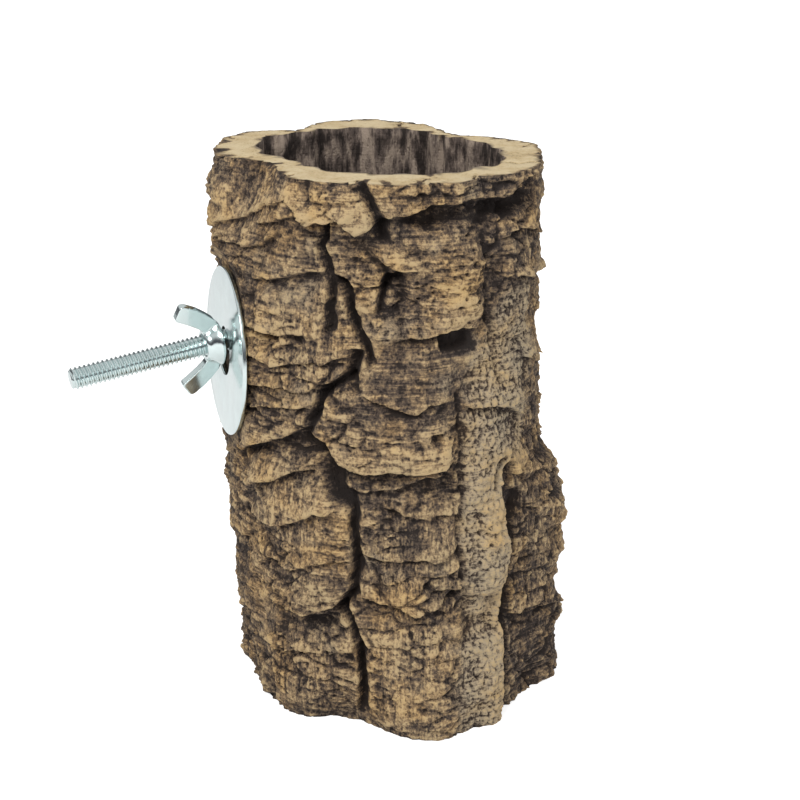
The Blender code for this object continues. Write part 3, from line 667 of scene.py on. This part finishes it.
def bark_grid(columns, rows):
    """Places of the bark's outside, row by row, and what the material reads there."""
    angles = np.arange(columns) * 360 / columns
    heights = np.linspace(0, TUBE_HEIGHT / MM, rows)
    angle, height = np.meshgrid(angles, heights)
    turn = np.radians(angle)
    points = np.stack([BARK_NOISE_RADIUS * np.cos(turn), BARK_NOISE_RADIUS * np.sin(turn), height],
                      axis=-1)
    relief, tone = bark_relief(angle, height, points)
    crust = share_of(LICHEN, angle, height, points, 31)
    ribbed = share_of(RIBBED, angle, height, points, 45)
    fine, fine_tone = fine_relief(angle, height, points, crust, ribbed)
    radius = np.maximum(outline_grid(OUTLINES, angles, heights) + relief,
                        outline_grid(BORE, angles, heights) + LEAST_WALL)
    radius = radius + fine
    step = TUBE_HEIGHT / MM / rows
    # How far each place lies below its near and its wider surroundings, which the material paints as shade
    hollow = np.clip((blurred(radius, 1.3 / step) - radius) / 1.1, -1, 1)
    deep = np.clip((blurred(radius, 5 / step) - radius) / 3.2, -1, 1)
    tone = 0.5 + tone + fine_tone + 0.16 * noise(points, 13, 51) + 0.10 * noise(points, 5, 52)
    height = np.clip(height - 0.35 * np.maximum(relief, 0), 0, None)
    height[0] = 0
    height[-1] = TUBE_HEIGHT / MM
    places = press_under_washer(on_tube(radius, angle, height))
    facts = {"tone": tone, "hollow": hollow, "deep": deep, "crust": crust, "ribbed": ribbed}
    return places, facts


def bore_grid(columns, rows):
    """Places of the bore's wall, row by row from the top down, and its ridges."""
    angles = np.arange(columns) * 360 / columns
    heights = np.linspace(TUBE_HEIGHT / MM, 0, rows)
    angle, height = np.meshgrid(angles, heights)
    turn = np.radians(angle)
    lengthwise = np.stack([BORE_NOISE_RADIUS * np.cos(turn), BORE_NOISE_RADIUS * np.sin(turn), height / 3],
                          axis=-1)
    flutes = FLUTE_DEPTH * np.cos(FLUTES * turn + 2 * noise(lengthwise, 20, 21))
    flutes = flutes + 0.9 * noise(lengthwise, 12, 22)
    fine = 0.45 * noise(lengthwise * (1, 1, 0.5), 2.4, 23) + 0.25 * noise(lengthwise, 1.1, 24)
    fine = fine + 0.25 * noise(lengthwise * (0.1, 0.1, 3), 1.5, 25)
    order = slice(None, None, -1)
    radius = outline_grid(BORE, angles, heights[order])[order] + flutes + fine
    places = on_tube(radius, angle, height)
    # How far each place lies in a groove, which the material paints as shade
    hollow = np.clip((radius - blurred(radius, 5)) / 0.9, -1, 1)
    return places, {"hollow": hollow}


def rim_grid(outer, inner, rows, lowered):
    """Places of a sawn end between two rings, with its cracks cut down from the saw's plane."""
    columns = len(outer)
    angle = np.arange(columns) * 360 / columns
    share = (np.arange(rows) + 1)[:, None] / (rows + 1)
    places = outer[None] * (1 - share[..., None]) + inner[None] * share[..., None]
    sunk = 0.05 * (1 + noise(places / MM, 1.6, 61))
    for number, (middle, start, end) in enumerate(RIM_CRACKS):
        wander = 2.5 * np.sin(share * 5 + number) + 1.2 * np.sin(share * 13 + 2 * number)
        aside = np.abs(across(angle[None] + wander, middle))
        inside = np.clip(np.minimum(share - start, end - share) * 8, 0, 1)
        sunk = np.maximum(sunk, 2.2 * inside * np.clip(1 - aside / 0.75, 0, 1))
    places[..., 2] -= lowered * sunk * MM
    # The cracks' depth, which the material paints as shade
    return places, {"hollow": np.clip(sunk - 0.2, -1, 1)}


def add_object(name, mesh_data, material):
    """Put a bmesh in the scene as a named object at the origin."""
    mesh = bpy.data.meshes.new(name)
    mesh_data.to_mesh(mesh)
    mesh_data.free()
    item = bpy.data.objects.new(name, mesh)
    bpy.context.scene.collection.objects.link(item)
    if material:
        mesh.materials.append(material)
    return item


def apply_modifiers(item, spent):
    """Make the modifiers' result the object's own mesh, and remove the pieces that they used up."""
    shape = item.evaluated_get(bpy.context.evaluated_depsgraph_get())
    mesh = bpy.data.meshes.new_from_object(shape)
    item.modifiers.clear()
    item.data = mesh
    mesh.name = item.name
    for piece in spent:
        bpy.data.objects.remove(piece, do_unlink=True)


def add_boolean(item, cutter, operation):
    modifier = item.modifiers.new(cutter.name, 'BOOLEAN')
    modifier.operation = operation
    modifier.solver = 'EXACT'
    modifier.object = cutter


def close_seams(mesh):
    bmesh.ops.remove_doubles(mesh, verts=mesh.verts, dist=SEAM)
    bmesh.ops.recalc_face_normals(mesh, faces=mesh.faces)


def shift(mesh, made, distance, direction):
    """Move the vertices among the parts that an operator made."""
    verts = [part for part in made["geom"] if isinstance(part, bmesh.types.BMVert)]
    bmesh.ops.translate(mesh, verts=verts, vec=[distance * part for part in direction])


def turned(profile, segments):
    """A solid turned around Z from a profile of radius and height."""
    mesh = bmesh.new()
    verts = [mesh.verts.new((radius, 0, height)) for radius, height in profile]
    edges = [mesh.edges.new(pair) for pair in zip(verts, verts[1:])]
    if profile[0][0] > 0:
        edges.append(mesh.edges.new((verts[-1], verts[0])))
    bmesh.ops.spin(mesh, geom=verts + edges, cent=(0, 0, 0), axis=(0, 0, 1),
                   angle=math.tau, steps=segments, use_merge=True)
    close_seams(mesh)
    return mesh


def bark_mesh(settings):
    """The bark tube: a grid closed both ways, every point of it moved to its place."""
    columns = settings.columns
    outside, facts = bark_grid(columns, settings.rows)
    inside, bore_facts = bore_grid(columns, BORE_ROWS)
    top, top_facts = rim_grid(outside[-1], inside[0], RIM_ROWS, 1)
    base, base_facts = rim_grid(inside[-1], outside[0], RIM_ROWS, 0)
    grid = np.concatenate([outside, top, inside, base])
    rows = len(grid)

    sheet = bmesh.new()
    bmesh.ops.create_grid(sheet, x_segments=columns, y_segments=rows, size=0.5)
    item = add_object("cork_bark", sheet, bark_material(settings))
    mesh = item.data
    flat = np.empty(len(mesh.vertices) * 3, np.float32)
    mesh.vertices.foreach_get("co", flat)
    across_sheet, up_sheet = flat.reshape(-1, 3)[:, :2].T + 0.5
    column = np.round(across_sheet * columns).astype(int) % columns
    row = np.round(up_sheet * rows).astype(int) % rows
    mesh.vertices.foreach_set("co", grid[row, column].astype(np.float32).ravel())

    parts = ((outside, facts), (top, {"sawn": 1, **top_facts}), (inside, {"bore": 1, **bore_facts}),
             (base, {"sawn": 1, **base_facts}))
    for name in ("tone", "hollow", "deep", "crust", "ribbed", "sawn", "bore"):
        usual = 0.5 if name == "tone" else 0
        values = np.concatenate([np.broadcast_to(known.get(name, usual), part.shape[:2])
                                 for part, known in parts])[row, column].astype(np.float32)
        mesh.attributes.new(name, 'FLOAT', 'POINT').data.foreach_set("value", values)
    mesh.update()
    closed = bmesh.new()
    closed.from_mesh(mesh)
    close_seams(closed)
    closed.to_mesh(mesh)
    closed.free()
    return item


def add_node(tree, kind, inputs=(), **facts):
    """A node with its settings and inputs, each a value or another node's output."""
    node = tree.nodes.new(kind)
    for name, value in facts.items():
        setattr(node, name, value)
    for socket, value in dict(inputs).items():
        if isinstance(value, bpy.types.NodeSocket):
            tree.links.new(value, node.inputs[socket])
        else:
            node.inputs[socket].default_value = value
    return node


def math_node(tree, operation, *values):
    node = add_node(tree, "ShaderNodeMath", dict(enumerate(values)), operation=operation)
    return node.outputs[0]


def mixed_colour(tree, share, first, second, blend='MIX'):
    node = add_node(tree, "ShaderNodeMix", {0: share, 6: first, 7: second},
                    data_type='RGBA', blend_type=blend)
    return node.outputs[2]


def read_attribute(tree, name):
    return add_node(tree, "ShaderNodeAttribute", attribute_name=name).outputs["Fac"]


def scaled_coordinates(tree, vector, scale):
    node = add_node(tree, "ShaderNodeMapping", {"Vector": vector, "Scale": scale})
    return node.outputs["Vector"]


def colour_ramp(tree, share, stops):
    node = add_node(tree, "ShaderNodeValToRGB", {"Fac": share})
    ramp = node.color_ramp
    while len(ramp.elements) < len(stops):
        ramp.elements.new(0.5)
    for element, (position, colour) in zip(ramp.elements, stops):
        element.position = position
        element.color = colour
    return node.outputs["Color"]


def noise_texture(tree, vector, scale=1.0, detail=3.0, roughness=0.5):
    node = add_node(tree, "ShaderNodeTexNoise", {
        "Vector": vector, "Scale": scale, "Detail": detail, "Roughness": roughness})
    return node.outputs["Fac"]


def added(tree, base, mask, share, middle=0.0):
    """A base value, plus a share of how far a mask is from its middle."""
    if middle:
        mask = math_node(tree, 'SUBTRACT', mask, middle)
    return math_node(tree, 'MULTIPLY_ADD', mask, share, base)


def add_bump(tree, shader, strength, distance, height):
    bump = add_node(tree, "ShaderNodeBump", {
        "Strength": strength, "Distance": distance, "Height": height})
    tree.links.new(bump.outputs["Normal"], shader.inputs["Normal"])


def fibre_group():
    """Growth lines, fibres, crumbs and pits as separate masks, and their common height."""
    name = "Cork fibre"
    if name in bpy.data.node_groups:
        return bpy.data.node_groups[name]
    group = bpy.data.node_groups.new(name, "ShaderNodeTree")
    group.interface.new_socket("Coordinates", in_out='INPUT', socket_type='NodeSocketVector')
    for socket in ("Fibres", "Lines", "Crumbs", "Pits", "Height"):
        group.interface.new_socket(socket, in_out='OUTPUT', socket_type='NodeSocketFloat')
    source = add_node(group, "NodeGroupInput").outputs["Coordinates"]
    fibres = noise_texture(group, scaled_coordinates(group, source, (1400, 1400, 110)), roughness=0.6)
    lines = noise_texture(group, scaled_coordinates(group, source, (90, 90, 1500)), roughness=0.6)
    crumbs = noise_texture(group, source, 850.0, 6.0, 0.75)
    spots = add_node(group, "ShaderNodeTexVoronoi", {
        "Vector": scaled_coordinates(group, source, (900, 900, 620)), "Scale": 1.0})
    pits = add_node(group, "ShaderNodeMapRange", {
        "Value": spots.outputs["Distance"], "From Min": 0.16, "From Max": 0.34,
        "To Min": 1.0, "To Max": 0.0}).outputs["Result"]
    height = math_node(group, 'MULTIPLY', fibres, 0.5)
    for mask, share in ((lines, 0.6), (crumbs, 1.1), (pits, -0.5)):
        height = added(group, height, mask, share)
    add_node(group, "NodeGroupOutput", {
        "Fibres": fibres, "Lines": lines, "Crumbs": crumbs, "Pits": pits, "Height": height})
    return group


def principled(material):
    return material.node_tree.nodes["Principled BSDF"]


def new_material(name):
    material = bpy.data.materials.new(name)
    material.use_nodes = True
    return material


def bark_material(settings):
    """Bark, crust, sawn cork and the bore's wall in one material, mixed by the mesh's attributes."""
    material = new_material("cork_bark")
    tree = material.node_tree
    shader = principled(material)
    coordinates = add_node(tree, "ShaderNodeTexCoord").outputs["Object"]
    fibre = add_node(tree, "ShaderNodeGroup", node_tree=fibre_group())
    tree.links.new(coordinates, fibre.inputs["Coordinates"])
    hollow = read_attribute(tree, "hollow")
    deep = read_attribute(tree, "deep")

    ribs = added(tree, 0.1, read_attribute(tree, "ribbed"), 0.9)
    lined = math_node(tree, 'MULTIPLY', math_node(tree, 'SUBTRACT', fibre.outputs["Lines"], 0.5),
                      math_node(tree, 'SUBTRACT', 1.25, ribs))
    fibres = math_node(tree, 'SUBTRACT', fibre.outputs["Fibres"], 0.5)
    value = added(tree, read_attribute(tree, "tone"), math_node(tree, 'MULTIPLY', fibres, ribs), 1.5)
    # Pits, small hollows and deep places are painted darker as painted shade; the lines, fibres and crumbs
    # are the bark's own grain
    for mask, share, middle in ((lined, 1.2, 0.0), (fibre.outputs["Crumbs"], 2.5, 0.5),
                                (fibre.outputs["Pits"], -0.30, 0.1), (hollow, -0.20, 0.0),
                                (deep, -0.26, 0.0)):
        value = added(tree, value, mask, share, middle)
    bark = colour_ramp(tree, value, ((0.0, settings.cavity_shadow_colour), (0.26, settings.shade_colour),
                                     (0.5, settings.bark_colour), (0.74, settings.plate_colour),
                                     (1.0, settings.edge_colour)))

    crust_value = added(tree, 0.56, value, 0.7, 0.5)
    crust = colour_ramp(tree, crust_value, ((0.0, settings.cavity_shadow_colour), (0.3, settings.shade_colour),
                                            (0.62, settings.lichen_colour), (1.0, settings.edge_colour)))
    bark = mixed_colour(tree, read_attribute(tree, "crust"), bark, crust)
    weather = noise_texture(tree, coordinates, 75.0, 5.0, 0.6)
    tint = colour_ramp(tree, weather, ((0.36, (0.90, 0.93, 0.97, 1)), (0.50, (1, 1, 1, 1)),
                                       (0.64, (1.05, 0.98, 0.84, 1))))
    bark = mixed_colour(tree, 1.0, bark, tint, 'MULTIPLY')

    speck = noise_texture(tree, scaled_coordinates(tree, coordinates, (620, 620, 300)), 1.0, 5.0, 0.7)
    sawn_value = added(tree, noise_texture(tree, coordinates, 110.0), speck, 0.8, 0.5)
    # Painted shade in the cracks and pits of the sawn ends
    sawn_value = added(tree, sawn_value, hollow, -1.2)
    sawn_value = added(tree, sawn_value, fibre.outputs["Pits"], -0.12)
    sawn = colour_ramp(tree, sawn_value, ((0.0, settings.shade_colour), (0.3, settings.bark_colour),
                                          (0.47, settings.sawn_colour), (0.8, (0.68, 0.555, 0.35, 1))))

    streak = noise_texture(tree, scaled_coordinates(tree, coordinates, (330, 330, 90)), 1.0, 4.0, 0.65)
    bore_value = added(tree, 0.5, streak, 4.0, 0.5)
    # Painted shade in the bore's grooves
    bore_value = added(tree, bore_value, hollow, -0.3)
    bore = colour_ramp(tree, bore_value, ((0.1, settings.cavity_shadow_colour), (0.5, settings.bore_colour),
                                          (0.95, (0.34, 0.27, 0.215, 1))))
    colour = mixed_colour(tree, read_attribute(tree, "bore"), bark, bore)
    colour = mixed_colour(tree, read_attribute(tree, "sawn"), colour, sawn)
    tree.links.new(colour, shader.inputs["Base Color"])
    tree.links.new(added(tree, 0.78, fibre.outputs["Crumbs"], 0.16), shader.inputs["Roughness"])
    shader.inputs["Specular IOR Level"].default_value = 0.25
    add_bump(tree, shader, 0.9, 0.45 * MM, fibre.outputs["Height"])
    return material


def zinc_material(name, settings, roughness, grain):
    """Bright zinc plating with a faint cloudy haze."""
    material = new_material(name)
    tree = material.node_tree
    shader = principled(material)
    coordinates = add_node(tree, "ShaderNodeTexCoord").outputs["Object"]
    haze = noise_texture(tree, coordinates, 260.0, 4.0, 0.6)
    scratch = noise_texture(tree, scaled_coordinates(tree, coordinates, (500, 500, 4200)), 1.0, 2.0)
    dull = [channel * 0.86 for channel in settings.zinc_colour[:3]] + [1]
    tree.links.new(colour_ramp(tree, haze, ((0.3, dull), (0.7, settings.zinc_colour))),
                   shader.inputs["Base Color"])
    tree.links.new(added(tree, roughness, haze, 0.16, 0.5), shader.inputs["Roughness"])
    shader.inputs["Metallic"].default_value = 1.0
    add_bump(tree, shader, grain, 0.05 * MM, added(tree, haze, scratch, 0.4))
    return material


def shade_round(item, degrees):
    item.data.shade_smooth()
    item.data.set_sharp_from_angle(angle=math.radians(degrees))


def nut_seat():
    """Where the nut's base lies along the bolt, so that it just clears the washer around its hole."""
    on_washer = washer_frame().inverted() @ bolt_frame()
    seat = 0
    for step in range(72):
        turn = math.radians(step * 5)
        edge = on_washer @ (Vector((math.cos(turn), math.sin(turn), 0)) * NUT_BASE_RADIUS)
        if math.hypot(edge.x, edge.y) > WASHER_HOLE_RADIUS - 2 * GAP:
            seat = max(seat, (WASHER_THICKNESS / 2 + GAP - edge.z) / on_washer[2][2])
    return seat


def nut_frame():
    return bolt_frame() @ Matrix.Translation((0, 0, nut_seat())) @ Matrix.Rotation(WING_TURN, 4, 'Z')


def threaded_rod(settings, low, high):
    """A rod with a real helical thread: one turn swept along the helix, repeated, then cut square."""
    pitch = settings.thread_pitch
    root = BOLT_RADIUS - settings.thread_depth
    turns = math.ceil((high - low) / pitch) + 3
    start = low - 1.5 * pitch
    mesh = bmesh.new()
    profile = ((root, 0), (root, 0.14), (BOLT_RADIUS, 0.42), (BOLT_RADIUS, 0.58), (root, 0.86),
               (root, 1))
    verts = [mesh.verts.new((radius, 0, start + share * pitch)) for radius, share in profile]
    edges = [mesh.edges.new(pair) for pair in zip(verts, verts[1:])]
    bmesh.ops.spin(mesh, geom=verts + edges, cent=(0, 0, 0), axis=(0, 0, 1), angle=math.tau,
                   steps=THREAD_STEPS, dvec=(0, 0, pitch / THREAD_STEPS))
    one_turn = mesh.verts[:] + mesh.edges[:] + mesh.faces[:]
    for number in range(1, turns):
        copy = bmesh.ops.duplicate(mesh, geom=one_turn)
        shift(mesh, copy, number * pitch, (0, 0, 1))
    bmesh.ops.remove_doubles(mesh, verts=mesh.verts, dist=SEAM)
    for height, side in ((low, -1), (high, 1)):
        whole = mesh.verts[:] + mesh.edges[:] + mesh.faces[:]
        bmesh.ops.bisect_plane(mesh, geom=whole, plane_co=(0, 0, height), plane_no=(0, 0, side),
                               clear_outer=True)
        rim = [edge for edge in mesh.edges if edge.is_boundary
               and all(abs(vert.co.z - height) < SEAM for vert in edge.verts)]
        bmesh.ops.contextual_create(mesh, geom=rim)
    for vert in mesh.verts:
        radius = math.hypot(vert.co.x, vert.co.y)
        most = BOLT_RADIUS - BOLT_CHAMFER * 1.2 + (high - vert.co.z)
        if radius > most:
            vert.co.x *= most / radius
            vert.co.y *= most / radius
    bmesh.ops.recalc_face_normals(mesh, faces=mesh.faces)
    return mesh


def make_bolt(settings):
    end = BOLT_FREE_LENGTH
    start = end - BOLT_LENGTH
    material = zinc_material("bolt_zinc", settings, 0.2, 0.2)
    bolt = add_object("threaded_bolt", threaded_rod(settings, start - HEAD_THICKNESS / 2, end), material)
    corner = HEAD_ACROSS_FLATS / math.sqrt(3)
    head = bmesh.new()
    bmesh.ops.create_cone(head, cap_ends=True, segments=6, radius1=corner, radius2=corner,
                          depth=HEAD_THICKNESS)
    bmesh.ops.bevel(head, geom=head.edges[:], offset=0.35 * MM, affect='EDGES', segments=3,
                    profile=0.5, material=-1)
    bmesh.ops.translate(head, verts=head.verts, vec=(0, 0, start - HEAD_THICKNESS / 2))
    head_piece = add_object("bolt_head", head, None)
    add_boolean(bolt, head_piece, 'UNION')
    apply_modifiers(bolt, [head_piece])
    bolt.data.transform(bolt_frame())
    shade_round(bolt, 32)
    return bolt


def make_washer(name, outer, inner, thickness, place, material):
    half = thickness / 2
    soft = thickness * ROLLED_EDGE
    section = []
    for middle, level, first in ((outer - soft, -half + soft, -90), (outer - soft, half - soft, 0),
                                 (inner + soft, half - soft, 90), (inner + soft, -half + soft, 180)):
        for step in range(5):
            turn = math.radians(first + 22.5 * step)
            section.append((middle + soft * math.cos(turn), level + soft * math.sin(turn)))
    mesh = turned(section, WASHER_SEGMENTS)
    bmesh.ops.transform(mesh, matrix=place, verts=mesh.verts)
    washer = add_object(name, mesh, material)
    shade_round(washer, 40)
    return washer


def wing_mesh(side):
    mesh = bmesh.new()
    verts = [mesh.verts.new((side * x * MM, -WING_THICKNESS / 2, z * MM)) for x, z in WING_OUTLINE]
    face = mesh.faces.new(verts)
    shift(mesh, bmesh.ops.extrude_face_region(mesh, geom=[face]), WING_THICKNESS, (0, 1, 0))
    bmesh.ops.recalc_face_normals(mesh, faces=mesh.faces)
    return mesh


def make_wing_nut(settings):
    bore = BOLT_RADIUS + GAP * 0.5
    hub = turned(((bore, 0), (NUT_BASE_RADIUS - 0.4 * MM, 0), (NUT_BASE_RADIUS, 0.4 * MM),
                  (NUT_BASE_RADIUS, 1.1 * MM), (NUT_BASE_RADIUS - 0.5 * MM, 2.0 * MM),
                  (NUT_TOP_RADIUS + 0.4 * MM, NUT_HEIGHT - 1.5 * MM),
                  (NUT_TOP_RADIUS, NUT_HEIGHT - 0.6 * MM),
                  (NUT_TOP_RADIUS - 0.5 * MM, NUT_HEIGHT), (bore, NUT_HEIGHT)), HUB_SEGMENTS)
    nut = add_object("zinc_wing_nut", hub, zinc_material("nut_zinc", settings, 0.13, 0.10))
    wings = [add_object("wing", wing_mesh(side), None) for side in (1, -1)]
    for wing in wings:
        add_boolean(nut, wing, 'UNION')
    remesh = nut.modifiers.new("cast", 'REMESH')
    remesh.mode = 'VOXEL'
    remesh.voxel_size = CAST_VOXEL
    smooth = nut.modifiers.new("soft edges", 'SMOOTH')
    smooth.factor = 0.5
    smooth.iterations = CAST_SMOOTHINGS
    apply_modifiers(nut, wings)
    nut.data.transform(nut_frame())
    nut.data.shade_smooth()
    return nut


class CORK_OT_bark(bpy.types.Operator):
    """Make the bark tube in place of the frame's plain one"""

    bl_idname = "cork_branch.bark"
    bl_label = "Make the bark tube"

    def execute(self, context):
        settings = context.scene.cork_bark
        bark = bark_mesh(settings)
        thin = bark.modifiers.new("thin", 'DECIMATE')
        thin.ratio = settings.share_kept
        seat = BOLT_FREE_LENGTH - BOLT_LENGTH + INNER_WASHER_THICKNESS + 2 * GAP
        seat_radius = INNER_WASHER_RADIUS + 2 * GAP
        hole_radius = BOLT_RADIUS + GAP
        hole = turned(((0, DRILL_FROM), (seat_radius, DRILL_FROM), (seat_radius, seat),
                       (hole_radius, seat), (hole_radius, DRILL_TO), (0, DRILL_TO)), HOLE_SEGMENTS)
        bmesh.ops.transform(hole, matrix=bolt_frame(), verts=hole.verts)
        drill = add_object("drill", hole, None)
        add_boolean(bark, drill, 'DIFFERENCE')
        apply_modifiers(bark, [drill])
        bark.data.shade_smooth()
        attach(bark, "root")
        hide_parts("cork_tube")
        return {'FINISHED'}


class CORK_OT_bolt(bpy.types.Operator):
    """Make the threaded bolt in place of the frame's plain one"""

    bl_idname = "cork_branch.bolt"
    bl_label = "Make the bolt"

    def execute(self, context):
        bolt = make_bolt(context.scene.cork_clamp)
        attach(bolt, "root")
        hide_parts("bolt")
        return {'FINISHED'}


class CORK_OT_washers(bpy.types.Operator):
    """Make both washers with rolled edges"""

    bl_idname = "cork_branch.washers"
    bl_label = "Make the washers"

    def execute(self, context):
        material = zinc_material("washer_zinc", context.scene.cork_clamp, 0.17, 0.06)
        clamp = make_washer("zinc_clamp_washer", WASHER_RADIUS, WASHER_HOLE_RADIUS, WASHER_THICKNESS,
                            washer_frame(), material)
        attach(clamp, "washer")
        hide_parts("clamp_washer")
        middle = BOLT_FREE_LENGTH - BOLT_LENGTH + GAP + INNER_WASHER_THICKNESS / 2
        inner = make_washer("zinc_inner_washer", INNER_WASHER_RADIUS, BOLT_RADIUS + GAP,
                            INNER_WASHER_THICKNESS, bolt_frame() @ Matrix.Translation((0, 0, middle)),
                            material)
        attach(inner, "root")
        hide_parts("inner_washer")
        return {'FINISHED'}


class CORK_OT_wing_nut(bpy.types.Operator):
    """Make the cast wing nut"""

    bl_idname = "cork_branch.wing_nut"
    bl_label = "Make the wing nut"

    def execute(self, context):
        nut = make_wing_nut(context.scene.cork_clamp)
        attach(nut, "nut")
        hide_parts("wing_nut")
        return {'FINISHED'}


class CORK_OT_stage(bpy.types.Operator):
    """Make the floor, the lights, the surroundings and the camera"""

    bl_idname = "cork_branch.stage"
    bl_label = "Make the stage"

    def execute(self, context):
        settings = context.scene.cork_stage
        make_floor(settings)
        make_lights(settings)
        make_camera()
        return {'FINISHED'}


def make_floor(settings):
    mesh = bmesh.new()
    bmesh.ops.create_grid(mesh, x_segments=1, y_segments=1, size=6)
    material = new_material("floor")
    shader = principled(material)
    shader.inputs["Base Color"].default_value = settings.floor_colour
    shader.inputs["Roughness"].default_value = 0.9
    shader.inputs["Emission Color"].default_value = (1, 1, 1, 1)
    seen = add_node(material.node_tree, "ShaderNodeLightPath").outputs["Is Camera Ray"]
    glow = added(material.node_tree, 0.1, seen, settings.floor_glow)
    material.node_tree.links.new(glow, shader.inputs["Emission Strength"])
    floor = add_object("floor", mesh, material)


def add_area_light(name, place, target, size, power, colour):
    light = bpy.data.lights.new(name, 'AREA')
    light.energy = power
    light.size = size
    light.color = colour
    lamp = bpy.data.objects.new(name, light)
    lamp.location = place
    lamp.rotation_euler = (Vector(target) - Vector(place)).to_track_quat('-Z', 'Y').to_euler()
    bpy.context.scene.collection.objects.link(lamp)


def make_lights(settings):
    middle = (AXIS_X, AXIS_Y, TUBE_HEIGHT / 2)
    add_area_light("key", KEY_PLACE, middle, 0.55, settings.key_power, (1, 0.985, 0.96))
    add_area_light("fill", FILL_PLACE, middle, 0.8, settings.fill_power, (0.97, 0.985, 1))
    world = bpy.data.worlds.new("studio")
    world.use_nodes = True
    tree = world.node_tree
    background = tree.nodes["Background"]
    direction = add_node(tree, "ShaderNodeTexCoord").outputs["Generated"]
    upward = add_node(tree, "ShaderNodeSeparateXYZ", {0: direction}).outputs["Z"]
    room = colour_ramp(tree, upward, ((0.0, (0.10, 0.10, 0.11, 1)), (0.22, (0.16, 0.16, 0.17, 1)),
                                      (0.45, (1, 1, 1, 1))))
    tree.links.new(room, background.inputs["Color"])
    background.inputs["Strength"].default_value = settings.sky
    bpy.context.scene.world = world


def make_camera():
    lens = bpy.data.cameras.new("camera")
    lens.lens = LENS
    lens.sensor_width = SENSOR_WIDTH
    camera = bpy.data.objects.new("camera", lens)
    camera.location = (AXIS_X + CAMERA_ASIDE, AXIS_Y + CAMERA_BACK, CAMERA_HEIGHT)
    camera.rotation_euler = (math.radians(90) - CAMERA_LOOKS_DOWN, 0, CAMERA_TURN)
    bpy.context.scene.collection.objects.link(camera)
    bpy.context.scene.camera = camera


class CORK_PT_panel(bpy.types.Panel):
    """Buttons and settings of the cork branch"""

    bl_label = "Cork Branch"
    bl_idname = "CORK_PT_panel"
    bl_space_type = 'VIEW_3D'
    bl_region_type = 'UI'
    bl_category = "Cork Branch"

    def draw(self, context):
        for operator in OPERATORS:
            self.layout.operator(operator.bl_idname)
        for name in SETTINGS:
            group = getattr(context.scene, name)
            box = self.layout.box()
            for setting in group.__annotations__:
                box.prop(group, setting)


SETTINGS = {"cork_bark": BarkSettings, "cork_clamp": ClampSettings, "cork_stage": StageSettings}
OPERATORS = (CORK_OT_bark, CORK_OT_bolt, CORK_OT_washers, CORK_OT_wing_nut, CORK_OT_stage)


def register():
    for item in (*SETTINGS.values(), *OPERATORS, CORK_PT_panel):
        bpy.utils.register_class(item)
    for name, group in SETTINGS.items():
        setattr(bpy.types.Scene, name, PointerProperty(type=group))


def unregister():
    for name in SETTINGS:
        delattr(bpy.types.Scene, name)
    for item in reversed((*SETTINGS.values(), *OPERATORS, CORK_PT_panel)):
        bpy.utils.unregister_class(item)


def main():
    register()
    bpy.context.scene.view_settings.view_transform = 'Standard'
    bpy.ops.cork_branch.bark()
    bpy.ops.cork_branch.bolt()
    bpy.ops.cork_branch.washers()
    bpy.ops.cork_branch.wing_nut()
    bpy.ops.cork_branch.stage()


if __name__ == "__main__":
    main()
